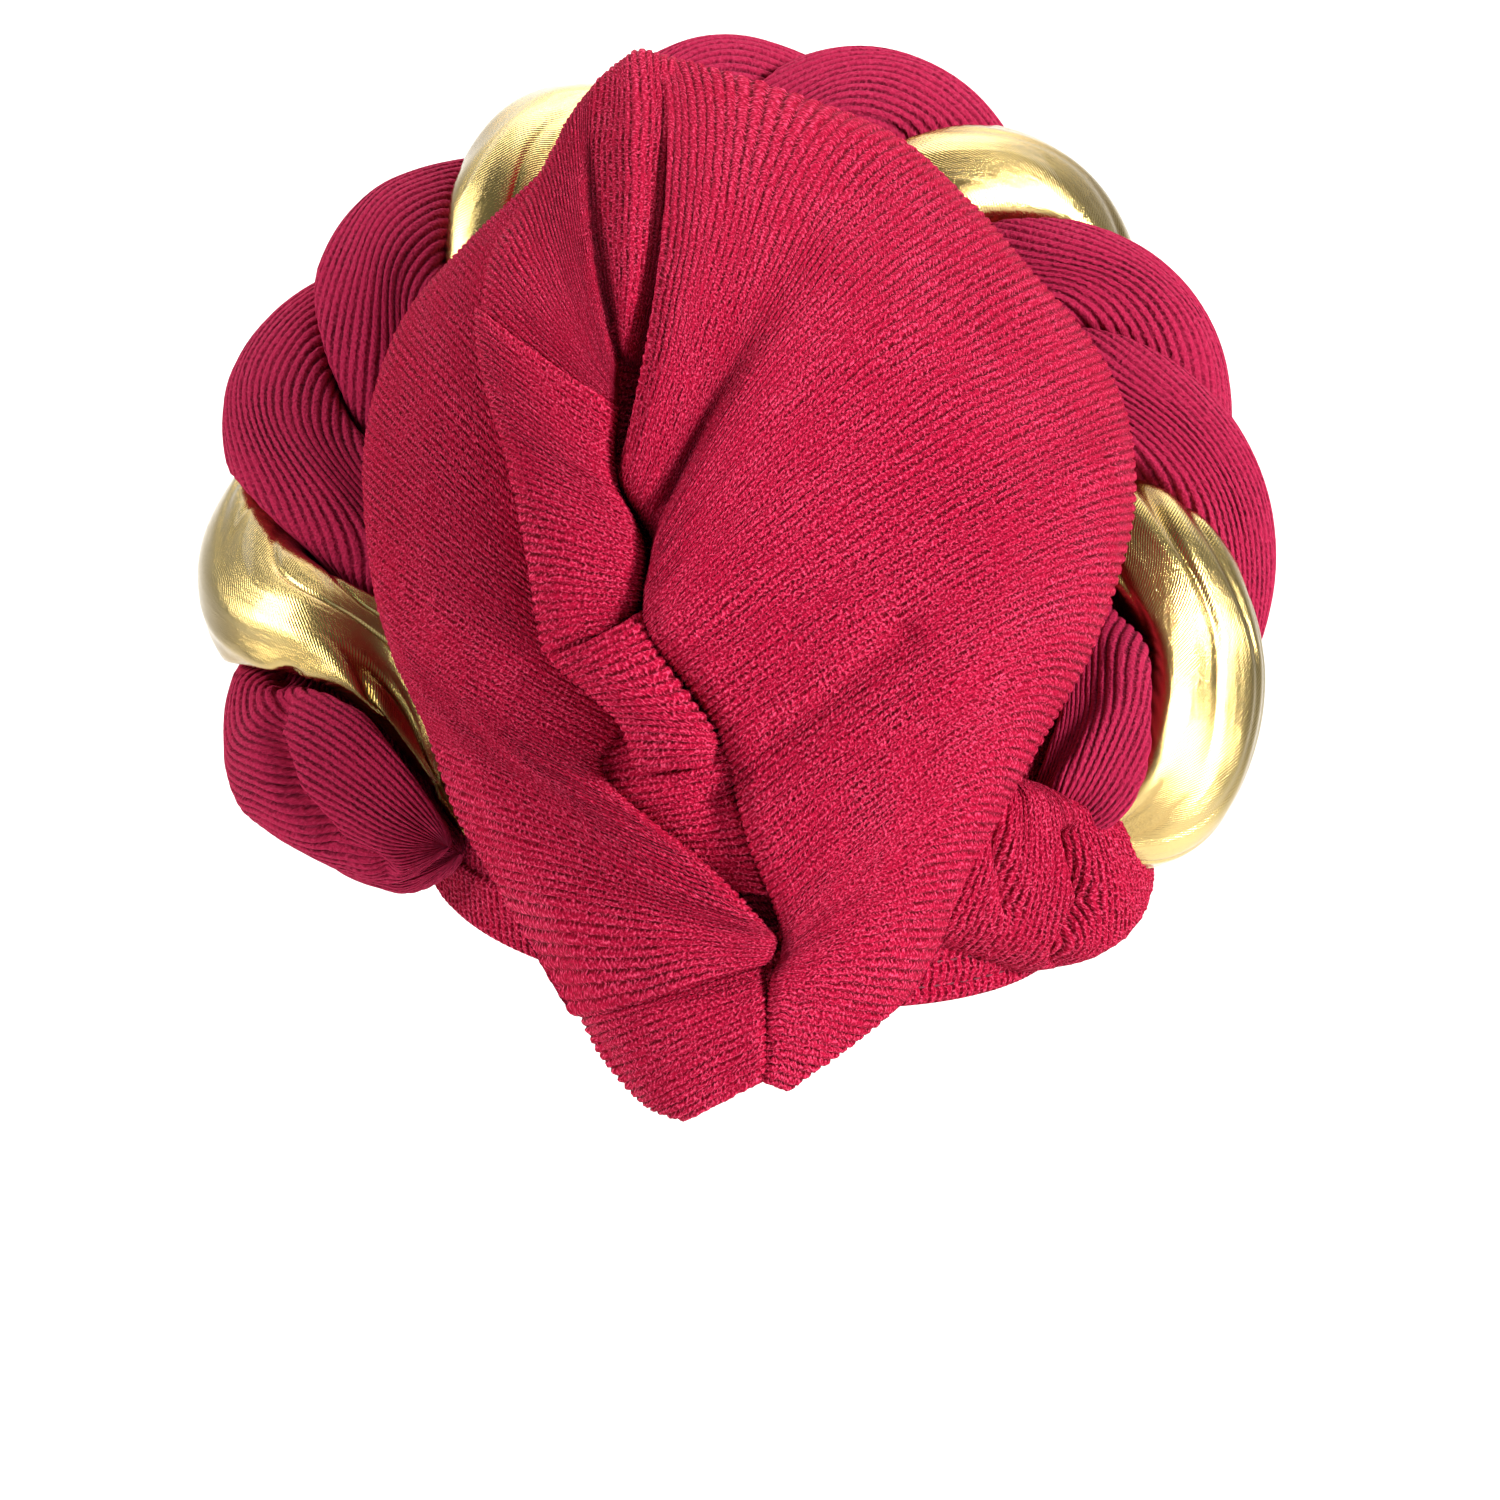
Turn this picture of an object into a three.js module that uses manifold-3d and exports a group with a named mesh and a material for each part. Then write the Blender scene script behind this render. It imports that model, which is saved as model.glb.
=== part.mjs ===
// Braided gele head tie: a hollow stretch cap with a hem band, a three-strand braid that stands
// round the back of the head, and a pleated back drape in two panels that meet at a gathered seam.
// Millimetres. +X is the wearer's right, +Y the face, +Z up. The origin is the middle of the head
// opening, level with the nape.

import * as THREE from 'three';
import Module from 'manifold-3d';

const wasm = await Module();
wasm.setup();

// Cloth
const CLOTH_WALL = 2;
const PIECE_GAP = 0.6;

// Folds are placed as they are seen from behind, from this far back and this high.
const EYE_DISTANCE = 1100;
const EYE_HEIGHT = 70;

// Cap and hem band
const CAP_HALF_WIDTH = 84;
const CAP_REACH_BACK = 96;
const CAP_REACH_FRONT = 95;
const CAP_CROWN = 196;
const CAP_WIDEST = 60;
const NAPE_TUCK = 20;
const SIDE_TUCK = 6;
const BAND_HEIGHT = 15;
const BAND_THICKNESS = 4;
const BAND_ROUND = 0.8;
const CAP_AROUND = 26;
const CAP_ROWS = 7;
const CAP_TOP_ROW = 0.97;
const CAP_FULLNESS = 2.4;
const NAPE_TUCK_POWER = 1.5;
const DEEPEST_TUCK = 1.3;

// The rim climbs from the nape to the brow, and leans down to the wearer's right.
const RIM_AT_SIDES = 37;
const RIM_CLIMB = 0.42;
const RIM_CURVE = 0.0008;
const RIM_LEAN = -0.1;
const RIM_PASSES = 4;

// Braid: one row per stretch of its path, as seen from behind, going clockwise.
// y is the depth, swing how far a strand's middle stands from the path, girth the share of its size,
// and lead how many degrees the strands are turned ahead of an even lay. The lay stops at both ends.
const BRAID_PATH = [
  { x: -77, y: -57, z: 46, swing: 4, girth: 0.35, lead: 36 },
  { x: -85, y: -50, z: 54, swing: 6.5, girth: 0.7, lead: 10 },
  { x: -95, y: -36, z: 70, swing: 10, girth: 1, lead: -22 },
  { x: -104, y: -18, z: 92, swing: 12, girth: 1, lead: -18 },
  { x: -106, y: -3, z: 125, swing: 12, girth: 1, lead: -12 },
  { x: -95, y: 9, z: 164, swing: 12, girth: 1, lead: -6 },
  { x: -67, y: 18, z: 192, swing: 12, girth: 1, lead: 0 },
  { x: -34, y: 24, z: 211, swing: 12, girth: 1, lead: 0 },
  { x: -1, y: 26, z: 218, swing: 12, girth: 1, lead: 6 },
  { x: 33, y: 24, z: 213, swing: 12, girth: 1, lead: 12 },
  { x: 64, y: 18, z: 191, swing: 12, girth: 1, lead: 15 },
  { x: 86, y: 9, z: 162, swing: 12, girth: 1, lead: 18 },
  { x: 97, y: -3, z: 125, swing: 12, girth: 1, lead: 12 },
  { x: 96, y: -18, z: 92, swing: 12, girth: 1, lead: -2 },
  { x: 90, y: -35, z: 70, swing: 10, girth: 0.95, lead: -36 },
  { x: 82, y: -49, z: 55, swing: 7, girth: 0.75, lead: -60 },
  { x: 76, y: -56, z: 45, swing: 4, girth: 0.4, lead: -84 },
];
const BRAID_CENTRE = { x: -1, z: 125 };
const BRAID_FACE_TILT = THREE.MathUtils.degToRad(65);
const BRAID_REPEAT = THREE.MathUtils.degToRad(70.9);
const GOLD_OUTER_ANGLE = THREE.MathUtils.degToRad(187);
const BRAID_FLATNESS = 0.85;
const STRAND_HALF_WIDTH = 28;
const STRAND_HALF_THICKNESS = 22;
const STRAND_GAP = 4.8;
const STRAND_SECTIONS = 68;
const STRAND_SIDES = 9;
const SQUEEZE_POWER = 8;
const CAP_CLEARANCE = 2;
const ROOM_BELOW_CAP = 40;

// Room kept for the drape: sideways, in front of its rim, and how much its front corners are cut.
const DRAPE_ROOM_SIDE = 2;
const DRAPE_ROOM_FRONT = 12;
const DRAPE_ROOM_CORNER = 6;
const DRAPE_ROOM_BACK = -200;

// Drape: one row per level of its outer form, as seen from behind.
// left and right are the outline, rim the depth there, back the depth at the middle.
const DRAPE_LEVELS = [
  { z: 256, left: -36, right: -6, rim: -14, back: -16 },
  { z: 230, left: -53, right: 39, rim: -16, back: -54 },
  { z: 187, left: -90, right: 80, rim: -28, back: -98 },
  { z: 143, left: -103, right: 100, rim: -42, back: -122 },
  { z: 96, left: -96, right: 91, rim: -56, back: -128 },
  { z: 44, left: -75, right: 61, rim: -72, back: -118 },
  { z: 0, left: -44, right: 36, rim: -82, back: -106 },
  { z: -28, left: -24, right: 0, rim: -92, back: -98 },
];
const DRAPE_FULLNESS = 2.4;
const RIM_STEPS = [1.4, 1.75, 2];
const TURN_STEPS = [2.15, 3];
const TURN_GAP = 5;
const TURN_LEAN = 25;
const TURN_HIGHEST = 182;
const TURN_FROM = 15;
const TURN_OVER = 45;
const TURN_LEAST = 0.12;

// Rib guides of the panels, a row for each rib that leads a fold: from the gathered seam to the
// soft ridge or fold edge, and to the rim where the cloth turns under. bow is the rib's sideways
// bulge, lift its height over the drape's outer form at the seam, half-way and at the ridge.
const RIGHT_RIBS = [
  { from: [-36, 141], to: [-22, 236], rim: [-25, 252], bow: -3, lift: [3, 4, 3] },
  { from: [-33, 136], to: [-8, 236], rim: [-12, 251], bow: -4, lift: [8, 9, 4] },
  { from: [-27, 126], to: [26, 222], rim: [42, 229], bow: 0, lift: [2, 1, 2] },
  { from: [-27, 121], to: [51, 201], rim: [64, 207], bow: 8, lift: [9, 9, 3] },
  { from: [-29, 109], to: [72, 182], rim: [81, 185], bow: 10, lift: [10, 10, 3] },
  { from: [-28, 99], to: [87, 165], rim: [94, 167], bow: 11, lift: [10, 9, 3] },
  { from: [-20, 89], to: [87, 143], rim: [100, 145], bow: 6, lift: [8, 8, 3] },
  { from: [-13, 80], to: [86, 123], rim: [99, 125], bow: 5, lift: [7, 7, 3] },
  { from: [-7, 69], to: [80, 102], rim: [92, 101], bow: 4, lift: [6, 6, 2] },
  { from: [-2, 48], to: [65, 74], rim: [75, 71], bow: 3, lift: [6, 6, 1] },
  { from: [6.5, 26], to: [51, 44], rim: [60, 44], bow: 2, lift: [6, 5, 1] },
  { from: [7, 17], to: [38, 19], rim: [46, 17], bow: 2, lift: [3, 2, 0] },
  { from: [4, 8], to: [26, 0], rim: [33, -2], bow: 1, lift: [4, 3, 0] },
  { from: [3.7, -11], to: [7, -15], rim: [9, -18], bow: 0, lift: [2, 1, 0] },
];
const CROWN_RIBS = [
  { from: [-30, 172], to: [-29, 250], bow: -4, lift: [-7, -7, -4] },
  { from: [-33, 173], to: [-32, 252], bow: -2, lift: [0, 7, 3] },
  { from: [-36, 172], to: [-39, 245], bow: 4, lift: [-8, -7, 2] },
  { from: [-37, 167], to: [-47, 237], bow: 3, lift: [0, 4, 3] },
  { from: [-38, 164], to: [-58, 217], bow: 2, lift: [1, 6, 6] },
  { from: [-39, 161], to: [-69, 199], bow: 1, lift: [1, 6, 8] },
  { from: [-40, 156], to: [-73, 181], bow: 0, lift: [0, 4, 8] },
];
const UPPER_PLEAT_RIBS = [
  { from: [-39, 160], to: [-73, 184], bow: 1, lift: [4, 8, 11] },
  { from: [-40, 149], to: [-71, 170], bow: 1, lift: [6, 11, 11] },
  { from: [-39, 139], to: [-68, 156], bow: 1, lift: [7, 12, 11] },
  { from: [-35, 131], to: [-63, 141], bow: 0, lift: [7, 12, 11] },
  { from: [-31, 123], to: [-61, 128], bow: 0, lift: [6, 12, 11] },
  { from: [-32, 114], to: [-59, 113], bow: 0, lift: [4, 11, 11] },
  { from: [-35, 101], to: [-54, 90], bow: 0, lift: [-2, 3, 4] },
];
const TONGUE_RIBS = [
  { from: [-32, 107], to: [-54, 94], bow: 1, lift: [6, 9, 10] },
  { from: [-28, 96], to: [-47, 88], bow: 1, lift: [8, 12, 11] },
  { from: [-20, 84], to: [-40, 82], bow: 1, lift: [8, 12, 11] },
  { from: [-12, 74], to: [-34, 75], bow: 0, lift: [6, 11, 9] },
  { from: [-13, 68], to: [-30, 66], bow: 0, lift: [4, 7, 6] },
];
const TUCK_RIBS = [
  { from: [-11, 66], to: [-42, 60], bow: 1, lift: [1, 0, -4] },
  { from: [-15, 60], to: [-34, 53], bow: 1, lift: [-1, -2, -4] },
  { from: [-10, 44], to: [-22, 46], bow: 0, lift: [-2, -2, -3] },
  { from: [-2, 34], to: [-8, 37], bow: 0, lift: [-1, -2, -2] },
];
const OUTER_RIBS = [
  { from: [-51, 223], to: [-52, 229], rim: [-53, 232], bow: 0, lift: [-4, -1, 0] },
  { from: [-61, 181], to: [-71, 201], rim: [-74, 207], bow: 0, lift: [-5, -2, 0] },
  { from: [-60, 138], to: [-89, 175], rim: [-93, 182], bow: 1, lift: [-6, -2, 1] },
  { from: [-57, 106], to: [-96, 148], rim: [-102, 154], bow: 2, lift: [-6, -1, 2] },
  { from: [-54, 85], to: [-94, 117], rim: [-102, 125], bow: 2, lift: [0, 3, 2] },
  { from: [-44, 66], to: [-82, 87], rim: [-97, 99], bow: 1, lift: [5, 5, 3] },
  { from: [-12, 39], to: [-54, 59], rim: [-87, 74], bow: 1, lift: [5, 5, 3] },
  { from: [2, 25], to: [-45, 43], rim: [-79, 53], bow: 1, lift: [6, 5, 3] },
  { from: [5.8, 21], to: [-35, 30], rim: [-69, 36], bow: 0, lift: [6, 4, 2] },
  { from: [5.2, 17], to: [-30, 16], rim: [-57, 17], bow: -1, lift: [5, 4, 2] },
  { from: [3.5, 14], to: [-24, 5], rim: [-44, 1], bow: -1, lift: [4, 4, 2] },
];
const TIP_RIBS = [
  { from: [2, 19], to: [-44, 4], bow: 0, lift: [-5, -5, -5] },
  { from: [3, 9], to: [-36, -9], bow: 0, lift: [1, 1, 0] },
  { from: [3.2, 1], to: [-30, -17], bow: 0, lift: [3, 2, 0] },
  { from: [3.2, -6], to: [-26, -22], bow: 0, lift: [3, 2, 0] },
  { from: [3, -14], to: [-19, -25], bow: 0, lift: [2, 1, 0] },
];

// The cloth that turns in behind the seam, under the right panel.
const UNDERLAY_RIBS = [
  { from: [-29, 230], to: [-15, 228], bow: 0, lift: [-5, -12, -16] },
  { from: [-32, 200], to: [-17, 198], bow: 0, lift: [-5, -13, -17] },
  { from: [-38, 174], to: [-22, 172], bow: 0, lift: [-5, -13, -17] },
  { from: [-44, 156], to: [-24, 154], bow: 0, lift: [-5, -15, -19] },
  { from: [-44, 138], to: [-22, 134], bow: 0, lift: [-5, -18, -21] },
  { from: [-39, 120], to: [-19, 114], bow: 0, lift: [-5, -14, -18] },
  { from: [-39, 107], to: [-18, 98], bow: 0, lift: [-5, -12, -17] },
  { from: [-30, 92], to: [-10, 84], bow: 0, lift: [-5, -12, -17] },
  { from: [-19, 72], to: [-1, 66], bow: 0, lift: [-5, -12, -16] },
  { from: [-13, 46], to: [4, 44], bow: 0, lift: [-5, -11, -14] },
  { from: [-1, 24], to: [10, 24], bow: 0, lift: [-5, -9, -12] },
];

// Soft creases across the cloth, a row each.
const CREASES = [
  { from: [-10, 58], to: [38, 99], depth: 4, width: 6 },
];

// Radius that rounds each edge of a pleat: at the seam (fromLast is for its last rib, where that
// differs), at the far edge, and along the first and last rib. along and across count its steps.
const RIGHT_EDGES = { from: 9, fromLast: 3, to: 5, first: 6, last: 3, along: 12, across: 24 };
const CROWN_EDGES = { from: 5, to: 6, first: 0, last: 0, along: 7, across: 11 };
const UPPER_PLEAT_EDGES = { from: 7, to: 7, first: 5, last: 4, along: 7, across: 7 };
const TONGUE_EDGES = { from: 6, to: 6, first: 4, last: 5, along: 5, across: 5 };
const TUCK_EDGES = { from: 4, to: 0, first: 3, last: 0, along: 4, across: 4 };
const OUTER_EDGES = { from: 6, to: 5, first: 0, last: 3, along: 8, across: 15 };
const UNDERLAY_EDGES = { from: 0, to: 0, first: 0, last: 0, along: 2, across: 12 };
const TIP_EDGES = { from: 3, to: 4, first: 0, last: 4, along: 5, across: 5 };

// The gathered seam allowance behind the left panel's pleats.
const SEAM_LINE = [
  [-28, 240], [-29, 215], [-38, 174], [-44, 156], [-44, 138], [-38, 122], [-39, 108], [-33, 96],
  [-20, 78], [-18, 66], [-20, 58], [-8, 36], [1.5, 22], [0, 10], [-2, -10],
];
const SEAM_DEPTH = 5;
const SEAM_RADIUS = 4;
const SEAM_SIDES = 6;

// Step along a path's rows that finds its direction.
const TANGENT_STEP = 0.03;

// A place as seen from behind, brought to its depth y.
function seen(x, z, y) {
  const scale = (EYE_DISTANCE + y) / EYE_DISTANCE;
  return new THREE.Vector3(x * scale, y, EYE_HEIGHT + (z - EYE_HEIGHT) * scale);
}

// A smooth value through the numbers of one column, at a fractional row.
function through(column, at) {
  const last = column.length - 1;
  const i = Math.min(Math.max(Math.floor(at), 0), last - 1);
  const t = at - i;
  const b = column[i];
  const c = column[i + 1];
  const a = i > 0 ? column[i - 1] : 2 * b - c;
  const d = i + 2 <= last ? column[i + 2] : 2 * c - b;
  const cubic = (3 * (b - c) + d - a) * t;
  return b + 0.5 * t * (c - a + t * (2 * a - 5 * b + 4 * c - d + cubic));
}

// Depth of the drape's outer form at a place seen from behind.
function drapeForm(x, z) {
  const levels = DRAPE_LEVELS;
  const height = Math.min(Math.max(z, levels[levels.length - 1].z), levels[0].z);
  let i = levels.findIndex((level) => level.z <= height) - 1;
  i = Math.max(i, 0);
  const at = i + (levels[i].z - height) / (levels[i].z - levels[i + 1].z);
  const value = (name) => through(levels.map((level) => level[name]), at);
  const half = (value('right') - value('left')) / 2;
  const across = (x - value('left') - half) / Math.max(half, 1);
  const inside = 1 - Math.min(Math.abs(across), 1) ** DRAPE_FULLNESS;
  return value('rim') + (value('back') - value('rim')) * Math.sqrt(inside);
}

// Depth of the soft creases at a place seen from behind.
function creaseDepth(x, z) {
  return CREASES.reduce((sum, { from, to, depth, width }) => {
    const [dx, dz] = [to[0] - from[0], to[1] - from[1]];
    const along = ((x - from[0]) * dx + (z - from[1]) * dz) / (dx * dx + dz * dz);
    const near = Math.min(Math.max(along, 0), 1);
    const away = Math.hypot(x - from[0] - near * dx, z - from[1] - near * dz);
    return sum + depth * Math.exp(-((away / width) ** 2));
  }, 0);
}

// Place on the cap where the cloth that turns under the rim is sewn on. Below the cap it only
// turns under a little.
function sewnPlace(rim) {
  const z = Math.min(Math.max(rim.z, TURN_FROM + TURN_OVER), TURN_HIGHEST);
  const { half, back } = capOutline(z, -TURN_GAP);
  const angle = Math.atan2((rim.y - TURN_LEAN) / back, rim.x / half);
  const share = Math.min(Math.max((rim.z - TURN_FROM) / TURN_OVER, TURN_LEAST), 1);
  return rim.clone().lerp(capPoint(angle, z, -TURN_GAP), share);
}

// Point of a panel: u runs along the ribs, 0 at the seam, 1 at the ridge, 2 at the rim and 3 where
// the turned cloth ends, and v across them, from the first guide to the last.
function panelPoint(ribs, u, v) {
  const at = v * (ribs.length - 1);
  const value = (pick) => through(ribs.map(pick), at);
  const from = [value((rib) => rib.from[0]), value((rib) => rib.from[1])];
  const to = [value((rib) => rib.to[0]), value((rib) => rib.to[1])];
  const lifts = [0, 1, 2].map((k) => value((rib) => rib.lift[k]));
  if (u > 1) {
    const rim = [value((rib) => rib.rim[0]), value((rib) => rib.rim[1])];
    const out = Math.min(u - 1, 1);
    const x = to[0] + (rim[0] - to[0]) * out;
    const z = to[1] + (rim[1] - to[1]) * out;
    const place = seen(x, z, drapeForm(x, z) - lifts[2] * (1 - out));
    return u > 2 ? place.clone().lerp(sewnPlace(place), u - 2) : place;
  }
  const bulge = value((rib) => rib.bow) * 4 * u * (1 - u);
  const length = Math.hypot(to[0] - from[0], to[1] - from[1]) || 1;
  const x = from[0] + (to[0] - from[0]) * u - (to[1] - from[1]) / length * bulge;
  const z = from[1] + (to[1] - from[1]) * u + (to[0] - from[0]) / length * bulge;
  const ends = lifts[0] + (lifts[2] - lifts[0]) * u;
  const crest = (lifts[1] - (lifts[0] + lifts[2]) / 2) * 4 * u * (1 - u);
  return seen(x, z, drapeForm(x, z) - ends - crest + creaseDepth(x, z));
}

// Drop of a rounded edge at a distance from it.
function edgeDrop(distance, radius) {
  if (distance >= radius) return 0;
  return radius - Math.sqrt(radius * radius - (radius - distance) ** 2);
}

// Running length along a line of points.
function runningLength(points) {
  const lengths = [0];
  for (let i = 1; i < points.length; i += 1) {
    lengths.push(lengths[i - 1] + points[i].distanceTo(points[i - 1]));
  }
  return lengths;
}

// Steps from 0 to 1 that are finer at both ends.
function steps(count) {
  const even = Array.from({ length: count + 1 }, (_, i) => i / count);
  return even.map((t) => 0.5 * t + 0.25 * (1 - Math.cos(Math.PI * t)));
}

// Grid of points of a panel, with its edges rounded down towards the head.
function panelGrid(ribs, edges) {
  const inner = steps(edges.along);
  const us = ribs[0].rim ? [...inner, ...RIM_STEPS, ...TURN_STEPS] : inner;
  const vs = steps(edges.across);
  const grid = vs.map((v) => us.map((u) => panelPoint(ribs, u, v)));
  const rowLengths = grid.map(runningLength);
  const columnLengths = us.map((_, j) => runningLength(grid.map((row) => row[j])));
  return grid.map((row, i) => row.map((point, j) => {
    const rowEnd = rowLengths[i][us.length - 1];
    const columnEnd = columnLengths[j][edges.across];
    const seamRadius = edges.from + ((edges.fromLast ?? edges.from) - edges.from) * vs[i];
    const drop = edgeDrop(rowLengths[i][j], seamRadius)
      + edgeDrop(rowEnd - rowLengths[i][j], edges.to)
      + edgeDrop(columnLengths[j][i], edges.first)
      + edgeDrop(columnEnd - columnLengths[j][i], edges.last);
    return point.clone().add(new THREE.Vector3(0, drop, 0));
  }));
}

// The same grid, one wall thickness further in.
function innerGrid(grid, wall) {
  const rows = grid.length - 1;
  const columns = grid[0].length - 1;
  const normals = grid.map((row, i) => row.map((_, j) => {
    const alongRow = row[Math.min(j + 1, columns)].clone().sub(row[Math.max(j - 1, 0)]);
    const down = grid[Math.min(i + 1, rows)][j].clone().sub(grid[Math.max(i - 1, 0)][j]);
    return alongRow.cross(down).normalize();
  }));
  const facing = normals.flat().reduce((sum, normal) => sum + normal.y, 0);
  const inward = facing > 0 ? wall : -wall;
  return grid.map((row, i) => row.map((point, j) => point.clone().addScaledVector(normals[i][j], inward)));
}

// Solid between an outer and an inner grid of points.
function shell(outer, inner) {
  const rows = outer.length;
  const columns = outer[0].length;
  const points = [...outer.flat(), ...inner.flat()];
  const triangles = [];
  const quad = (a, b, c, d) => triangles.push(a, b, c, a, c, d);
  const id = (i, j, side) => side * rows * columns + i * columns + j;
  const lastColumn = columns - 1;
  for (let i = 0; i < rows - 1; i += 1) {
    for (let j = 0; j < lastColumn; j += 1) {
      quad(id(i, j, 0), id(i, j + 1, 0), id(i + 1, j + 1, 0), id(i + 1, j, 0));
      quad(id(i, j, 1), id(i + 1, j, 1), id(i + 1, j + 1, 1), id(i, j + 1, 1));
    }
  }
  for (let j = 0; j < lastColumn; j += 1) {
    quad(id(0, j + 1, 0), id(0, j, 0), id(0, j, 1), id(0, j + 1, 1));
    quad(id(rows - 1, j, 0), id(rows - 1, j + 1, 0), id(rows - 1, j + 1, 1), id(rows - 1, j, 1));
  }
  for (let i = 0; i < rows - 1; i += 1) {
    quad(id(i, 0, 0), id(i + 1, 0, 0), id(i + 1, 0, 1), id(i, 0, 1));
    quad(id(i + 1, lastColumn, 0), id(i, lastColumn, 0), id(i, lastColumn, 1), id(i + 1, lastColumn, 1));
  }
  return { points, triangles };
}

// Closed tube through a list of sections, each a ring of points.
function tube(sections) {
  const sides = sections[0].length;
  const points = sections.flat();
  const triangles = [];
  for (let i = 0; i < sections.length - 1; i += 1) {
    for (let j = 0; j < sides; j += 1) {
      const a = i * sides + j;
      const b = i * sides + (j + 1) % sides;
      triangles.push(a, b, b + sides, a, b + sides, a + sides);
    }
  }
  for (const [section, turn] of [[0, -1], [sections.length - 1, 1]]) {
    const middle = points.length;
    const centre = sections[section].reduce((sum, point) => sum.add(point), new THREE.Vector3());
    points.push(centre.divideScalar(sides));
    for (let j = 0; j < sides; j += 1) {
      const a = section * sides + j;
      const b = section * sides + (j + 1) % sides;
      triangles.push(...(turn > 0 ? [middle, a, b] : [middle, b, a]));
    }
  }
  return { points, triangles };
}

// Turn a body whose faces point inwards the right way out.
function facingOut({ points, triangles }) {
  let volume = 0;
  for (let k = 0; k < triangles.length; k += 3) {
    const [a, b, c] = [0, 1, 2].map((n) => points[triangles[k + n]]);
    volume += a.dot(b.clone().cross(c));
  }
  if (volume > 0) return { points, triangles };
  const turned = [];
  for (let k = 0; k < triangles.length; k += 3) {
    turned.push(triangles[k], triangles[k + 2], triangles[k + 1]);
  }
  return { points, triangles: turned };
}

function toManifold(body) {
  const { points, triangles } = facingOut(body);
  const vertProperties = new Float32Array(points.flatMap((point) => point.toArray()));
  const triVerts = new Uint32Array(triangles);
  return new wasm.Manifold(new wasm.Mesh({ numProp: 3, vertProperties, triVerts }));
}

// The main piece, without slivers or closed bubbles.
function largestPiece(manifold) {
  return manifold.decompose().reduce((most, piece) => (piece.volume() > most.volume() ? piece : most));
}

function toGeometry(manifold) {
  const { vertProperties, triVerts } = manifold.getMesh();
  const geometry = new THREE.BufferGeometry();
  geometry.setAttribute('position', new THREE.BufferAttribute(new Float32Array(vertProperties), 3));
  geometry.setIndex(new THREE.BufferAttribute(new Uint32Array(triVerts), 1));
  geometry.computeVertexNormals();
  return geometry;
}

// Outline of the cap at a height: half-width, and reach to the back and to the front.
function capOutline(z, wall) {
  const crown = CAP_CROWN - wall;
  const rise = Math.min(Math.max((z - CAP_WIDEST) / (crown - CAP_WIDEST), 0), 1);
  const below = Math.min(Math.max((CAP_WIDEST - z) / CAP_WIDEST, 0), DEEPEST_TUCK);
  const taper = Math.sqrt(1 - rise ** CAP_FULLNESS);
  return {
    half: (CAP_HALF_WIDTH - wall - SIDE_TUCK * below ** 2) * taper,
    back: (CAP_REACH_BACK - wall - NAPE_TUCK * below ** NAPE_TUCK_POWER) * taper,
    front: (CAP_REACH_FRONT - wall) * taper,
  };
}

function capPoint(angle, z, wall) {
  const { half, back, front } = capOutline(z, wall);
  const reach = Math.sin(angle) < 0 ? back : front;
  return new THREE.Vector3(half * Math.cos(angle), reach * Math.sin(angle), z);
}

// Height of the rim at an angle round the head.
function rimHeight(angle) {
  let z = RIM_AT_SIDES;
  for (let pass = 0; pass < RIM_PASSES; pass += 1) {
    const { x, y } = capPoint(angle, z, 0);
    z = RIM_AT_SIDES + RIM_CLIMB * y + RIM_CURVE * y * y + RIM_LEAN * x;
  }
  return z;
}

function roundAngles(count) {
  return Array.from({ length: count }, (_, i) => 2 * Math.PI * i / count);
}

// Solid dome of the cap up to its crown, from a line some way below its hem.
function capDome(wall, below) {
  const section = (share, drop) => roundAngles(CAP_AROUND).map((angle) => {
    const start = rimHeight(angle) + BAND_HEIGHT + PIECE_GAP;
    const climb = 1 - (1 - share) ** 2;
    return capPoint(angle, start + (CAP_CROWN - wall - start) * climb - drop, wall);
  });
  const rows = Array.from({ length: CAP_ROWS + 1 }, (_, i) => section(CAP_TOP_ROW * i / CAP_ROWS, 0));
  return toManifold(tube(below > 0 ? [section(0, below), ...rows] : rows));
}

function makeBaseCap() {
  return capDome(0, 0).subtract(capDome(CLOTH_WALL, BAND_HEIGHT));
}

function makeRimBand() {
  const half = BAND_THICKNESS / 2;
  const profile = [
    [0, 0], [half, BAND_ROUND], [half, BAND_HEIGHT - BAND_ROUND],
    [0, BAND_HEIGHT], [-half, BAND_HEIGHT - BAND_ROUND], [-half, BAND_ROUND],
  ];
  const sections = roundAngles(CAP_AROUND).map((angle) => profile.map(([out, up]) => {
    const z = rimHeight(angle) + up;
    return capPoint(angle, z, CLOTH_WALL / 2 - out);
  }));
  const sides = profile.length;
  const triangles = [];
  sections.forEach((_, i) => {
    const next = (i + 1) % sections.length;
    for (let j = 0; j < sides; j += 1) {
      const k = (j + 1) % sides;
      const [a, b, c, d] = [i * sides + j, next * sides + j, next * sides + k, i * sides + k];
      triangles.push(a, b, c, a, c, d);
    }
  });
  return { points: sections.flat(), triangles };
}

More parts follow.
